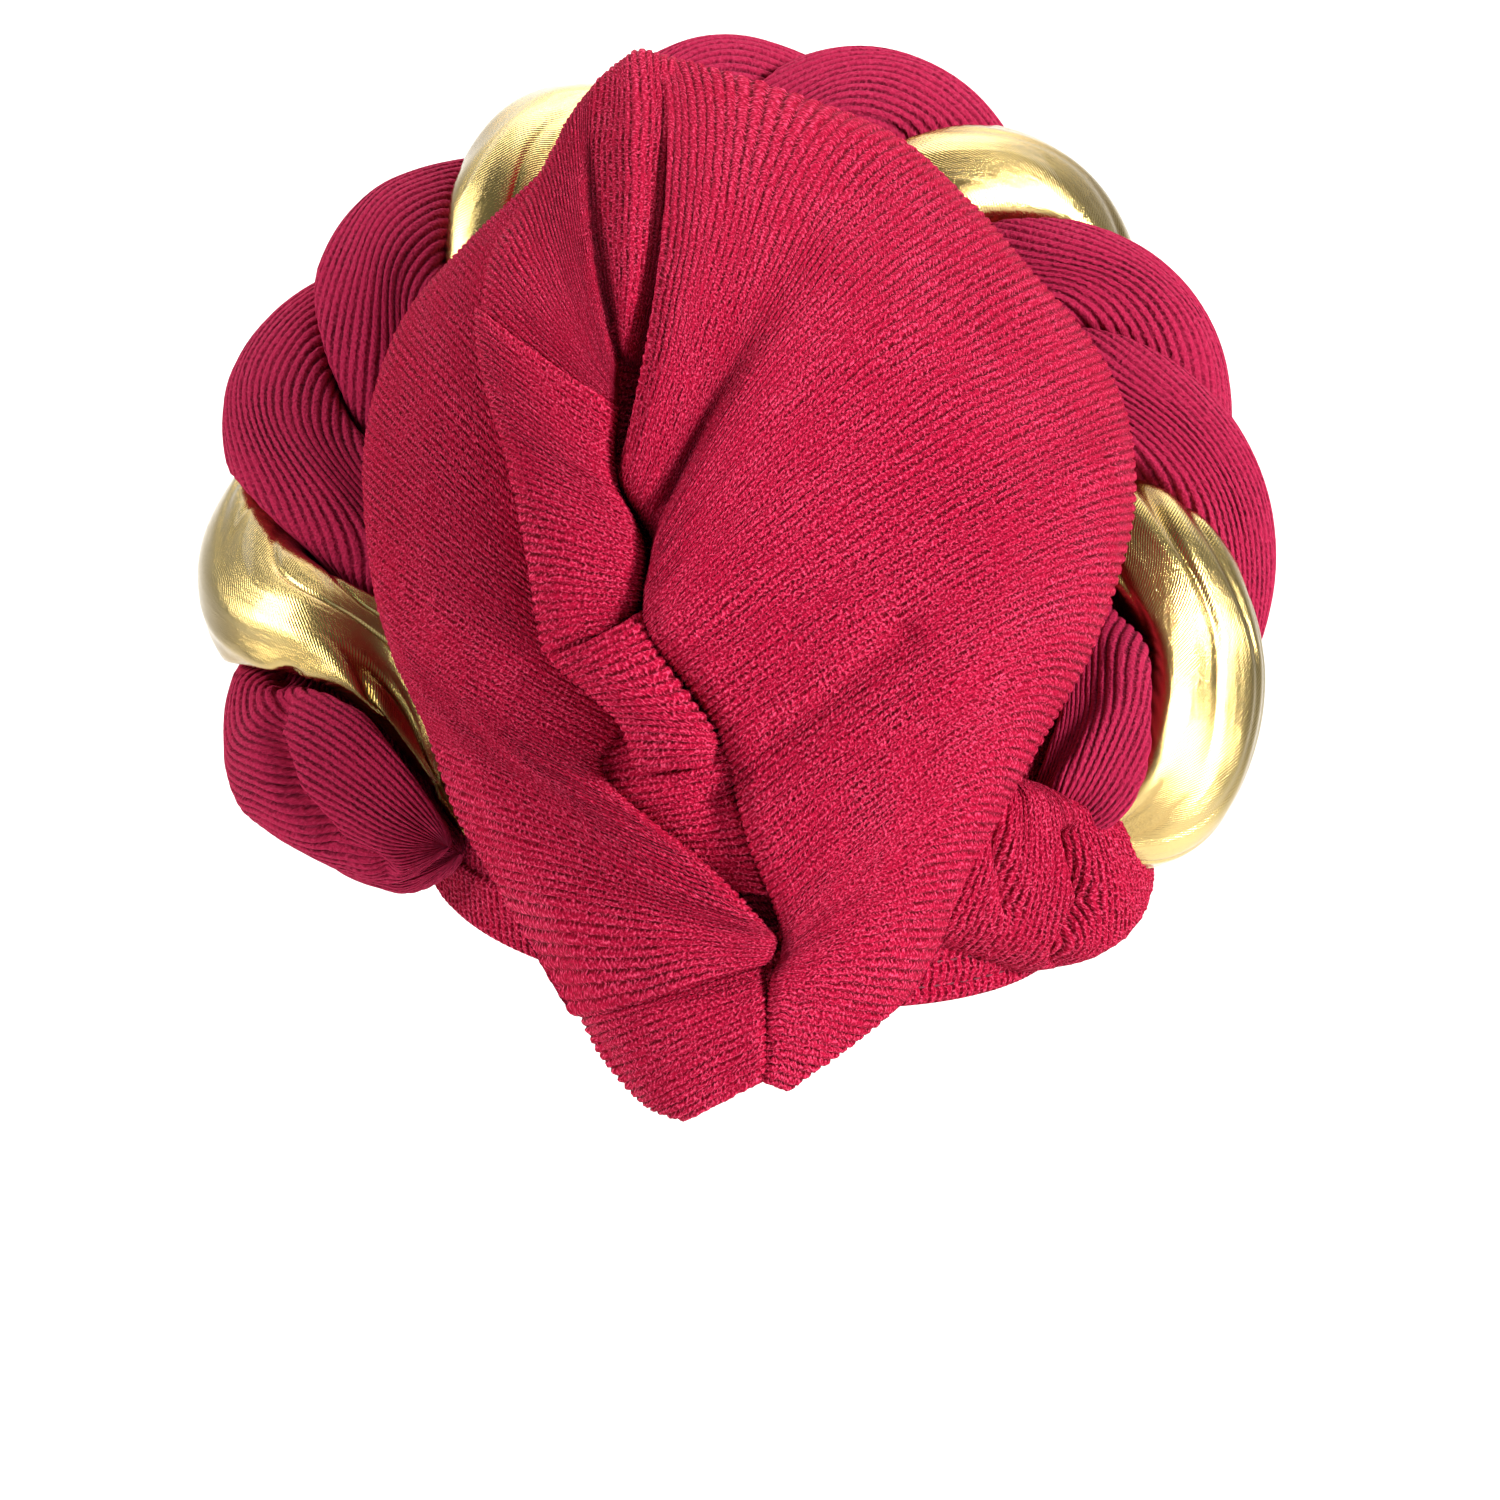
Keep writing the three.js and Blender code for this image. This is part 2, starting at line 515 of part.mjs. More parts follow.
// Middle line of the braid and the two directions across it, at a fractional row of its path.
function braidFrame(at) {
  const value = (name) => through(BRAID_PATH.map((row) => row[name]), at);
  const place = (t) => {
    const column = (name) => through(BRAID_PATH.map((row) => row[name]), t);
    return seen(column('x'), column('z'), column('y'));
  };
  const middle = place(at);
  const ahead = place(at + TANGENT_STEP).sub(place(at - TANGENT_STEP)).normalize();
  const centreZ = middle.z < BRAID_CENTRE.z ? (BRAID_CENTRE.z + middle.z) / 2 : BRAID_CENTRE.z;
  const outward = new THREE.Vector3(middle.x - BRAID_CENTRE.x, 0, middle.z - centreZ);
  outward.addScaledVector(ahead, -outward.dot(ahead)).normalize();
  const forward = ahead.clone().cross(outward);
  if (forward.y < 0) forward.negate();
  const [c, s] = [Math.cos(BRAID_FACE_TILT), Math.sin(BRAID_FACE_TILT)];
  return {
    middle,
    sideways: outward.clone().multiplyScalar(s).addScaledVector(forward, c),
    face: outward.clone().multiplyScalar(c).addScaledVector(forward, -s),
    angle: Math.atan2(value('z') - BRAID_CENTRE.z, value('x') - BRAID_CENTRE.x),
    lead: THREE.MathUtils.degToRad(value('lead')),
    swing: value('swing'),
    girth: value('girth'),
  };
}

// Solid room that the drape takes up, for cutting the strands back.
function drapeRoom() {
  const column = (name) => DRAPE_LEVELS.map((level) => level[name]);
  const sections = Array.from({ length: 2 * DRAPE_LEVELS.length - 1 }, (_, i) => {
    const [z, left, right, rim] = ['z', 'left', 'right', 'rim'].map((name) => through(column(name), i / 2));
    const [low, high] = [left - DRAPE_ROOM_SIDE, right + DRAPE_ROOM_SIDE];
    const front = rim + DRAPE_ROOM_FRONT;
    const corner = DRAPE_ROOM_CORNER;
    return [
      seen(low, z, DRAPE_ROOM_BACK), seen(low, z, front - corner), seen(low + corner, z, front),
      seen(high - corner, z, front), seen(high, z, front - corner), seen(high, z, DRAPE_ROOM_BACK),
    ];
  });
  return toManifold(tube(sections));
}

// Place of a strand in the braid's cross-section: it goes round the path once a repeat, so it
// shows from the inner side to the outer and then passes behind.
function strandPlace(frame, turn) {
  const round = frame.angle < -Math.PI / 2 ? frame.angle + 2 * Math.PI : frame.angle;
  const laid = 2 * Math.PI * (GOLD_OUTER_ANGLE - round) / BRAID_REPEAT;
  const phase = BRAID_FACE_TILT + laid + frame.lead + turn;
  return {
    side: frame.swing * Math.sin(phase),
    out: BRAID_FLATNESS * frame.swing * Math.cos(phase),
  };
}

// One strand: an oval bundle pressed flat where it meets the other two.
function makeStrand(number) {
  const third = 2 * Math.PI / 3;
  const last = BRAID_PATH.length - 1;
  const sections = Array.from({ length: STRAND_SECTIONS + 1 }, (_, i) => {
    const frame = braidFrame(last * i / STRAND_SECTIONS);
    const own = strandPlace(frame, number * third);
    const others = [1, 2].map((k) => strandPlace(frame, (number + k) * third));
    const wide = STRAND_HALF_WIDTH * frame.girth;
    const thick = STRAND_HALF_THICKNESS * frame.girth;
    const first = Math.atan2(own.out, own.side);
    return roundAngles(STRAND_SIDES).map((angle) => {
      const [c, s] = [Math.cos(first + angle), Math.sin(first + angle)];
      let squeeze = Math.hypot(c / wide, s / thick) ** SQUEEZE_POWER;
      for (const other of others) {
        const apart = Math.hypot(other.side - own.side, other.out - own.out);
        const towards = ((other.side - own.side) * c + (other.out - own.out) * s) / apart;
        const limit = (apart - STRAND_GAP) / 2;
        squeeze += (Math.max(towards, 0) / limit) ** SQUEEZE_POWER;
      }
      const radius = squeeze ** (-1 / SQUEEZE_POWER);
      return frame.middle.clone()
        .addScaledVector(frame.sideways, own.side + radius * c)
        .addScaledVector(frame.face, own.out + radius * s);
    });
  });
  const room = capDome(-CAP_CLEARANCE, ROOM_BELOW_CAP).add(drapeRoom());
  return largestPiece(toManifold(tube(sections)).subtract(room));
}

function makeSeam() {
  const line = SEAM_LINE.map(([x, z]) => seen(x, z, drapeForm(x, z) + SEAM_DEPTH));
  const sections = Array.from({ length: 2 * line.length - 1 }, (_, i) => {
    const value = (name, t) => through(line.map((point) => point[name]), t);
    const place = (t) => new THREE.Vector3(value('x', t), value('y', t), value('z', t));
    const middle = place(i / 2);
    const ahead = place(i / 2 + TANGENT_STEP).sub(place(i / 2 - TANGENT_STEP)).normalize();
    const side = new THREE.Vector3(0, 1, 0).cross(ahead).normalize();
    const deep = ahead.clone().cross(side);
    return roundAngles(SEAM_SIDES).map((angle) => middle.clone()
      .addScaledVector(side, SEAM_RADIUS * Math.cos(angle))
      .addScaledVector(deep, SEAM_RADIUS * Math.sin(angle)));
  });
  return tube(sections);
}

function makePanel(ribs, edges) {
  const grid = panelGrid(ribs, edges);
  return shell(grid, innerGrid(grid, CLOTH_WALL));
}

// The left panel's pleats and seam as one cloth, without the slivers where pleats only touch.
function makeLeftPanel() {
  const pleats = [
    makePanel(CROWN_RIBS, CROWN_EDGES),
    makePanel(UPPER_PLEAT_RIBS, UPPER_PLEAT_EDGES),
    makePanel(TONGUE_RIBS, TONGUE_EDGES),
    makePanel(TUCK_RIBS, TUCK_EDGES),
    makePanel(OUTER_RIBS, OUTER_EDGES),
    makePanel(TIP_RIBS, TIP_EDGES),
    makePanel(UNDERLAY_RIBS, UNDERLAY_EDGES),
  ];
  const cloth = pleats.map(toManifold).reduce((sum, pleat) => sum.add(pleat), toManifold(makeSeam()));
  return largestPiece(cloth);
}

function addMesh(group, name, manifold, finish) {
  const mesh = new THREE.Mesh(toGeometry(manifold), new THREE.MeshStandardMaterial(finish));
  mesh.name = name;
  group.add(mesh);
}

const WINE = { color: 0xa5173b, roughness: 0.85, metalness: 0 };
const GOLD = { color: 0xd9b23c, roughness: 0.3, metalness: 1 };

const headTie = new THREE.Group();
addMesh(headTie, 'base_cap', makeBaseCap(), WINE);
addMesh(headTie, 'rim_band', toManifold(makeRimBand()), WINE);
addMesh(headTie, 'braid_strand_gold', makeStrand(0), GOLD);
addMesh(headTie, 'braid_strand_wine_a', makeStrand(1), WINE);
addMesh(headTie, 'braid_strand_wine_b', makeStrand(2), WINE);
addMesh(headTie, 'drape_left_panel', makeLeftPanel(), WINE);
addMesh(headTie, 'drape_right_panel', toManifold(makePanel(RIGHT_RIBS, RIGHT_EDGES)), WINE);

export default headTie;
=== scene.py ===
import math
from functools import partial

import bmesh
import bpy
import numpy as np
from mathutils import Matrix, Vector


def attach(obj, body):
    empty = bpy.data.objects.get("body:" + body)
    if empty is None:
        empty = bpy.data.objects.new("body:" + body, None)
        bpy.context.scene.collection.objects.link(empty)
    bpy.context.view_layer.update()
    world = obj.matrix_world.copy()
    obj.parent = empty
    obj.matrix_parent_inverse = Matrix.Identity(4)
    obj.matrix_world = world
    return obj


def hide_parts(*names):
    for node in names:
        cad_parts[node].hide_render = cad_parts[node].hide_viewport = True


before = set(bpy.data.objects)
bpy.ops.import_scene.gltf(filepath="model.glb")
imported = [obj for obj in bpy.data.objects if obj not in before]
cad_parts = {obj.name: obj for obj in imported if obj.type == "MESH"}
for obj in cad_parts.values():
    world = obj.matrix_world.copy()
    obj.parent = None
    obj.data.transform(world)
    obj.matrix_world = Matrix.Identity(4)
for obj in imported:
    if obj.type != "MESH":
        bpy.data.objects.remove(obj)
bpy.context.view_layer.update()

# Camera: straight behind the head, level with the lower third of the wrap, and far enough back for a
# long lens.
EYE_DISTANCE = 1100.0
EYE_HEIGHT = 70.0
EYE_SIDE = -1.0
LENS_MM = 101.54
SENSOR_MM = 36.0
VIEW_END = 20.0
MM = 0.001


def add_object(name, data):
    """A new object of the scene that holds some data."""
    made = bpy.data.objects.new(name, data)
    bpy.context.scene.collection.objects.link(made)
    return made


camera_data = bpy.data.cameras.new("camera")
camera_data.lens = LENS_MM
camera_data.sensor_width = SENSOR_MM
camera_data.clip_end = VIEW_END
camera = add_object("camera", camera_data)
camera.location = (EYE_SIDE * MM, -EYE_DISTANCE * MM, EYE_HEIGHT * MM)
camera.rotation_euler = (math.pi / 2, 0.0, 0.0)
bpy.context.scene.camera = camera

# Base cap: the stretch cap under everything, cut from ribbed wine crepe and sewn to a dome.
# The head goes in from below, and the braid and the back drape are sewn to its outside.
# Its ribs run up from the hem to the crown.
CLOTH_WALL = 2.0
CAP_HALF_WIDTH = 84.0
CAP_REACH_BACK = 96.0
CAP_REACH_FRONT = 95.0
CAP_CROWN = 196.0
CAP_WIDEST = 60.0
CAP_FULLNESS = 2.4
CAP_TOP_ROW = 0.97
NAPE_TUCK = 20.0
NAPE_TUCK_POWER = 1.5
SIDE_TUCK = 6.0
DEEPEST_TUCK = 1.3
RIM_AT_SIDES = 37.0
RIM_CLIMB = 0.42
RIM_CURVE = 0.0008
RIM_LEAN = -0.1
RIM_SETTLING = 4
BAND_HEIGHT = 15.0
CAP_INTO_BAND = 0.5
CAP_SKIN_INSET = 0.3
CAP_RIBS = 200
CAP_SAMPLES = 6
CAP_ROWS = 28
CAP_RIB_RELIEF = 0.5
# Share of the climb, up to the crown, over which the ribs fade out.
CAP_RIB_FADE = 0.35
LINING_RELIEF = 0.5
WANDER_WAVES = 7
WANDER_SLOWEST = 0.55
WANDER_RANGE = 4.0
LEAST_LENGTH = 1e-9
CM = 10.0


def stacked(*values):
    """Points or vectors put together from their coordinates."""
    return np.stack(np.broadcast_arrays(*values), axis=-1)


def unit(vectors):
    """Vectors brought to a length of one."""
    return vectors / np.maximum(np.linalg.norm(vectors, axis=-1, keepdims=True), LEAST_LENGTH)


def bell(distance, width):
    """A smooth bump: 1 at no distance, and nearly 0 at twice its width."""
    return np.exp(-(distance / width) ** 2)


def cap_outline(z, wall):
    """Half-width of the cap at a height, and its reach to the back and to the front."""
    crown = CAP_CROWN - wall
    rise = np.clip((z - CAP_WIDEST) / (crown - CAP_WIDEST), 0, 1)
    below = np.clip((CAP_WIDEST - z) / CAP_WIDEST, 0, DEEPEST_TUCK)
    taper = np.sqrt(1 - rise ** CAP_FULLNESS)
    half = (CAP_HALF_WIDTH - wall - SIDE_TUCK * below ** 2) * taper
    back = (CAP_REACH_BACK - wall - NAPE_TUCK * below ** NAPE_TUCK_POWER) * taper
    front = (CAP_REACH_FRONT - wall) * taper
    return half, back, front


def cap_point(angle, z, wall):
    """Points of the cap's surface, one wall thickness in for a positive wall."""
    half, back, front = cap_outline(z, wall)
    reach = np.where(np.sin(angle) < 0, back, front)
    return stacked(half * np.cos(angle), reach * np.sin(angle), z)


def rim_height(angle):
    """Height of the hem's lower edge at an angle round the head."""
    z = np.full_like(angle, RIM_AT_SIDES)
    for _ in range(RIM_SETTLING):
        place = cap_point(angle, z, 0.0)
        climb = RIM_CLIMB * place[..., 1] + RIM_CURVE * place[..., 1] ** 2
        z = RIM_AT_SIDES + climb + RIM_LEAN * place[..., 0]
    return z


def wander(a, b, lengths, seed):
    """Smooth noise from about -1 to 1. lengths are its rough wavelengths along a and along b."""
    random = np.random.default_rng(seed)
    total = 0.0
    for _ in range(WANDER_WAVES):
        turn, rate, start = random.uniform(0, 1, 3)
        way = a / lengths[0] * np.cos(2 * np.pi * turn) + b / lengths[1] * np.sin(2 * np.pi * turn)
        total = total + np.sin(2 * np.pi * ((WANDER_SLOWEST + rate) * way + start))
    return total / WANDER_RANGE


def grid_normals(grid, tube=False):
    """Unit normals of a grid of points. In a tube the last column is next to the first."""
    across = np.gradient(grid, axis=1)
    if tube:
        across = np.roll(grid, -1, 1) - np.roll(grid, 1, 1)
    return unit(np.cross(across, np.gradient(grid, axis=0)))


def rib_profile(phase):
    """Round cord profile of the ribs: 0 in the groove, 1 on the crest."""
    share = phase - np.floor(phase)
    return np.sqrt(np.clip(1 - (2 * share - 1) ** 2, 0, 1))


def quads_of(ids):
    """Faces between the neighbours of a grid of point numbers."""
    return np.stack([ids[:-1, :-1], ids[:-1, 1:], ids[1:, 1:], ids[1:, :-1]], axis=-1).reshape(-1, 4)


def closed(ids, axis=1):
    """Point numbers of a grid with its first row or column again at the end."""
    return np.concatenate([ids, np.take(ids, [0], axis=axis)], axis=axis)


def fan(ring, pole):
    """Triangles from a closed ring of point numbers to one point."""
    return [(a, b, pole) for a, b in zip(ring[:-1], ring[1:])]


def zip_edges(fine, coarse, step):
    """Triangles between a fine edge and a coarse edge that has every step-th of its points."""
    triangles = []
    for k in range(len(coarse) - 1):
        run = fine[k * step:(k + 1) * step + 1]
        middle = len(run) // 2
        for i in range(len(run) - 1):
            triangles.append((coarse[k] if i < middle else coarse[k + 1], run[i + 1], run[i]))
        triangles.append((coarse[k], coarse[k + 1], run[middle]))
    return triangles


class ClothMesh:
    """Points and faces of one piece of cloth, with how strongly its ribs stand out (which also sets the
    painted shade
    in their grooves, and for the gold is the painted shade and highlight of its folds) and its cloth
    coordinates:
    centimetres along the ribs, and across them one rib for every RIB_SPAN."""

    def __init__(self):
        self.points, self.faces, self.reliefs, self.cloth, self.count = [], [], [], [], 0

    def add_points(self, grid, relief, cloth):
        shape = grid.shape[:-1]
        ids = np.arange(self.count, self.count + int(np.prod(shape))).reshape(shape)
        self.count += ids.size
        self.points.append(grid.reshape(-1, 3))
        self.reliefs.append(np.broadcast_to(relief, shape).reshape(-1))
        self.cloth.append(np.broadcast_to(cloth, shape + (2,)).reshape(-1, 2))
        return ids

    def add_faces(self, faces):
        self.faces.extend(np.asarray(faces).tolist())

    def add_sheet(self, outer, inner, relief, cloth, row_step, column_step):
        """A closed thin sheet: a fine outer skin and a coarse inner skin joined at the edges."""
        skin = self.add_points(outer, relief, cloth)
        inner_cloth = cloth[::row_step, ::column_step]
        back = self.add_points(inner, LINING_RELIEF, inner_cloth)
        self.add_faces(quads_of(skin))
        self.add_faces(quads_of(back)[:, ::-1])
        self.add_faces(zip_edges(skin[0], back[0], column_step))
        self.add_faces(zip_edges(skin[-1][::-1], back[-1][::-1], column_step))
        self.add_faces(zip_edges(skin[::-1, 0], back[::-1, 0], row_step))
        self.add_faces(zip_edges(skin[:, -1], back[:, -1], row_step))

    def make(self, name, material, round_width=0.0):
        """The finished piece. round_width is the cloth's width where it closes into a ring."""
        mesh = bpy.data.meshes.new(name)
        points = np.concatenate(self.points) * MM
        mesh.from_pydata(points.tolist(), [], self.faces)
        work = bmesh.new()
        work.from_mesh(mesh)
        bmesh.ops.recalc_face_normals(work, faces=work.faces)
        work.to_mesh(mesh)
        work.free()
        relief = mesh.attributes.new("relief", "FLOAT", "POINT")
        relief.data.foreach_set("value", np.concatenate(self.reliefs).astype(np.float32))
        corners = np.empty(len(mesh.loops), dtype=np.int32)
        mesh.loops.foreach_get("vertex_index", corners)
        layer = mesh.uv_layers.new(name="cloth")
        cloth = np.concatenate(self.cloth)[corners]
        if round_width:
            starts = np.array([face.loop_start for face in mesh.polygons])
            sizes = np.array([face.loop_total for face in mesh.polygons])
            widest = np.repeat(np.maximum.reduceat(cloth[:, 1], starts), sizes)
            cloth[:, 1] += round_width * (widest - cloth[:, 1] > round_width / 2)
        layer.data.foreach_set("uv", cloth.astype(np.float32).ravel())
        mesh.polygons.foreach_set("use_smooth", np.ones(len(mesh.polygons), dtype=bool))
        mesh.materials.append(material)
        mesh.update()
        return add_object(name, mesh)


class Shade:
    """A socket of a node tree that takes part in plain expressions."""

    def __init__(self, tree, socket=None):
        self.tree = tree
        self.socket = socket

    def node(self, kind, settings=None, inputs=None, output=0):
        made = self.tree.nodes.new(kind)
        for name, value in (settings or {}).items():
            setattr(made, name, value)
        for name, value in (inputs or {}).items():
            if isinstance(value, Shade):
                self.tree.links.new(value.socket, made.inputs[name])
            else:
                made.inputs[name].default_value = value
        return Shade(self.tree, made.outputs[output] if made.outputs else None)

    def maths(self, operation, first, second):
        return self.node("ShaderNodeMath", {"operation": operation}, {0: first, 1: second})

    def mix(self, low, high):
        return self.node("ShaderNodeMix", {"data_type": "RGBA"}, {0: self, 6: low, 7: high}, 2)

    def __add__(self, other):
        return self.maths("ADD", self, other)

    def __sub__(self, other):
        return self.maths("SUBTRACT", self, other)

    def __rsub__(self, other):
        return self.maths("SUBTRACT", other, self)

    def __mul__(self, other):
        return self.maths("MULTIPLY", self, other)

    __radd__ = __add__
    __rmul__ = __mul__


# Tones of the crepe: its grooves in painted shade, its crest, and a pale tone for painted highlights on the
# crinkles and for random pale patches.
CREPE_TONES = ((0.12, 0.0003, 0.006, 1.0), (0.41, 0.0035, 0.034, 1.0), (0.92, 0.075, 0.18, 1.0))
RIB_SPAN = 0.21
RIB_RAGGED = 0.10
# Scale and detail of the noises behind ragged grooves, crinkles, wear and clouds of tone.
CREPE_NOISES = ((8.0, 2.0), (14.0, 2.5), (0.8, 2.0), (0.3, 2.0))
# Depth that wear gives the grooves, in bumps and in painted shade, and what is taken off it everywhere.
GROOVE_DEPTH = 1.7
GROOVE_LOSS = 0.1
# What the ribs (painted shade in the grooves) and the crinkles (painted highlights and shade) add to the tone
# between groove and crest.
RIB_PAINTED_SHADE = 0.85
CRINKLE_PAINTED_LIGHT = 3.2
LEAST_TONE = 0.1
# What the crinkles add as painted highlights, and the clouds and the wear as random pale patches, to the pale
# tone.
CRINKLE_HIGHLIGHT = 4.2
CLOUD_PALE_PATCH = 0.4
WORN_PALE_PATCH = 0.5
RIB_BUMP = 0.6
CRINKLE_BUMP = 1.5


def cloth_material(name):
    """A new material with no shader yet, its node tree, and its cloth's coordinates and relief, which also
    carries painted shade.
    """
    material = bpy.data.materials.new(name)
    material.use_nodes = True
    material.node_tree.nodes.clear()
    shade = Shade(material.node_tree)
    cloth = shade.node("ShaderNodeUVMap", {"uv_map": "cloth"})
    relief = shade.node("ShaderNodeAttribute", {"attribute_name": "relief"}, None, 2)
    return material, shade, cloth, relief


def wine_cloth(name, tones, groove, crinkle_strength):
    """Ribbed wine crepe: ragged narrow grooves in painted shade, faded in places, and a crinkled surface with
    painted highlights and shade on its crinkles and random pale patches. groove is the grooves' width in
    ribs, and crinkle_strength how strongly the crinkles show."""
    material, shade, cloth, relief = cloth_material(name)
    across = shade.node("ShaderNodeSeparateXYZ", None, {"Vector": cloth}, 1)
    ragged, crinkle, worn, cloud = [
        shade.node("ShaderNodeTexNoise", None, {"Vector": cloth, "Scale": scale, "Detail": detail})
        for scale, detail in CREPE_NOISES
    ]
    rib = shade.maths("PINGPONG", (across + (ragged - 0.5) * RIB_RAGGED) * (1 / RIB_SPAN), 0.5)
    cord = shade.node("ShaderNodeMapRange", {"interpolation_type": "SMOOTHSTEP"}, {
        "Value": rib, "From Max": groove,
    })
    height = 1 - (1 - cord) * relief * (worn * GROOVE_DEPTH - GROOVE_LOSS)
    crinkle_rise = (crinkle - 0.5) * crinkle_strength
    groove_shade_tone, crest_tone, highlight_and_pale_patch_tone = tones
    # Painted shade: the grooves are coloured darker, and the crinkles lighter on their rises and darker in
    # their dips.
    colour = (height * RIB_PAINTED_SHADE + crinkle_rise * CRINKLE_PAINTED_LIGHT + LEAST_TONE).mix(groove_shade_tone, crest_tone)
    highlight_and_pale_patches = crinkle_rise * CRINKLE_HIGHLIGHT + (cloud - 0.5) * CLOUD_PALE_PATCH + (worn - 0.5) * WORN_PALE_PATCH
    # Painted highlights: the crinkles' rises are mixed towards the pale tone, as are random pale patches.
    colour = highlight_and_pale_patches.mix(colour, highlight_and_pale_patch_tone)
    bump = shade.node("ShaderNodeBump", None, {
        "Strength": 1.0, "Distance": 0.0010, "Height": height * RIB_BUMP + crinkle_rise * CRINKLE_BUMP,
    })
    surface = shade.node("ShaderNodeBsdfPrincipled", None, {
        "Base Color": colour, "Roughness": 0.78 + crinkle * 0.14, "Specular IOR Level": 0.06,
        "Sheen Weight": 0.02, "Sheen Roughness": 0.4, "Sheen Tint": (1.0, 0.25, 0.4, 1.0),
        "Normal": bump,
    })
    shade.node("ShaderNodeOutputMaterial", None, {"Surface": surface})
    return material


crepe_wine = wine_cloth("crepe_wine", CREPE_TONES, groove=0.3, crinkle_strength=1.0)

cap_angles = np.linspace(0, 2 * np.pi, CAP_RIBS * CAP_SAMPLES + 1)
cap_climb = 1 - (1 - CAP_TOP_ROW * np.arange(CAP_ROWS + 1) / CAP_ROWS) ** 2


def cap_grid(angles, climb, wall):
    """Points of the cap from its hem up to near the crown, a row for each share of the climb."""
    start = rim_height(angles) + BAND_HEIGHT - CAP_INTO_BAND
    z = start[None, :] + (CAP_CROWN - wall - start[None, :]) * climb[:, None]
    return cap_point(angles[None, :], z, wall)


cap = ClothMesh()
cap_skin = cap_grid(cap_angles, cap_climb, CAP_SKIN_INSET)
cap_rib = rib_profile(np.arange(cap_angles.size) / CAP_SAMPLES)[None, :]
cap_fade = np.clip((1 - cap_climb) / CAP_RIB_FADE, 0, 1)[:, None]
cap_out = -grid_normals(cap_skin)
cap_out *= np.sign(np.sum(cap_out[..., :2] * cap_skin[..., :2], axis=-1, keepdims=True) + LEAST_LENGTH)
cap_skin = cap_skin + cap_out * (CAP_RIB_RELIEF * cap_rib * cap_fade)[..., None]
cap_across = np.arange(cap_angles.size)[None, :] / CAP_SAMPLES * RIB_SPAN
cap_cloth = stacked(cap_climb[:, None] * CAP_CROWN / CM, cap_across)
cap_skin[:, -1] = cap_skin[:, 0]
cap_ids = cap.add_points(cap_skin[:, :-1], cap_fade, cap_cloth[:, :-1])
lining = cap_grid(cap_angles[::CAP_SAMPLES], cap_climb, CLOTH_WALL)
lining_ids = cap.add_points(lining[:, :-1], LINING_RELIEF, cap_cloth[:, :-1:CAP_SAMPLES])
cap_poles = np.array([[0, 0, CAP_CROWN], [0, 0, CAP_CROWN - CLOTH_WALL]])
pole_ids = cap.add_points(cap_poles, LINING_RELIEF, np.zeros(2))
cap_ids = closed(cap_ids)
lining_ids = closed(lining_ids)
cap.add_faces(quads_of(cap_ids))
cap.add_faces(quads_of(lining_ids)[:, ::-1])
cap.add_faces(zip_edges(cap_ids[0], lining_ids[0], CAP_SAMPLES))
cap.add_faces(fan(cap_ids[-1], pole_ids[0]))
cap.add_faces(fan(lining_ids[-1][::-1], pole_ids[1]))
cap_shell = cap.make("cap_shell", crepe_wine, CAP_RIBS * RIB_SPAN)
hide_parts("base_cap")
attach(cap_shell, "root")

# Hem band: the cap's edge, turned over an elastic and sewn down, so its ribs stand close together.
# It is gathered most at the back on the wearer's right, where two rows of stitches pinch it.
BAND_THICKNESS = 4.0
BAND_RIBS = 216
BAND_SAMPLES = 6
BAND_ROUND = 1.6
BAND_FACE_ROWS = 14
BAND_CORNER_TURNS = np.array([0, 30, 60, 90])
BAND_RELIEF = 0.7
BAND_WAVER = 0.175
BAND_WAVER_ANGLE = 1 / 14
BAND_SEED = 5
GATHER_PINCH = 1.1
GATHER_HEIGHTS = (4.5, 10.5)
GATHER_DEPTH = 0.9
GATHER_ANGLE = math.radians(-52)
GATHER_REACH = math.radians(48)

band_half = BAND_THICKNESS / 2
band_profile = []
for corner_out, corner_up, start_turn in (
    (band_half - BAND_ROUND, BAND_ROUND, -90), (band_half - BAND_ROUND, BAND_HEIGHT - BAND_ROUND, 0),
    (BAND_ROUND - band_half, BAND_HEIGHT - BAND_ROUND, 90), (BAND_ROUND - band_half, BAND_ROUND, 180),
):
    if start_turn == 0:
        for up in np.linspace(BAND_ROUND, BAND_HEIGHT - BAND_ROUND, BAND_FACE_ROWS)[1:-1]:
            band_profile.append((band_half, up))
    for turn in np.radians(start_turn + BAND_CORNER_TURNS):
        up = corner_up + BAND_ROUND * math.sin(turn)
        band_profile.append((corner_out + BAND_ROUND * math.cos(turn), up))
band_profile = np.array(band_profile)

band_angles = np.linspace(0, 2 * np.pi, BAND_RIBS * BAND_SAMPLES + 1)[:-1]
band_waver = wander(band_angles, 0 * band_angles, (BAND_WAVER_ANGLE, 1), BAND_SEED)
band_rib = rib_profile(np.arange(band_angles.size) / BAND_SAMPLES)
band_turn = np.angle(np.exp(1j * (band_angles - GATHER_ANGLE)))
band_gather = bell(band_turn, GATHER_REACH)
band_z = rim_height(band_angles)[:, None] + band_profile[None, :, 1]
facing_out = np.clip(band_profile[:, 0] / band_half, 0, 1)[None, :]
pinch = sum(bell(band_profile[:, 1] - level, GATHER_PINCH) for level in GATHER_HEIGHTS)[None, :]
band_relief = BAND_RELIEF * band_rib[:, None] * (1 + BAND_WAVER * band_waver[:, None])
band_relief = band_relief - GATHER_DEPTH * pinch * band_gather[:, None]
band_out = band_profile[None, :, 0] + band_relief * facing_out
band_skin = cap_point(band_angles[:, None], band_z, CLOTH_WALL / 2 - band_out)
band_across = np.arange(band_angles.size)[:, None] / BAND_SAMPLES * RIB_SPAN
band_cloth = stacked(band_profile[None, :, 1] / CM, band_across)
band = ClothMesh()
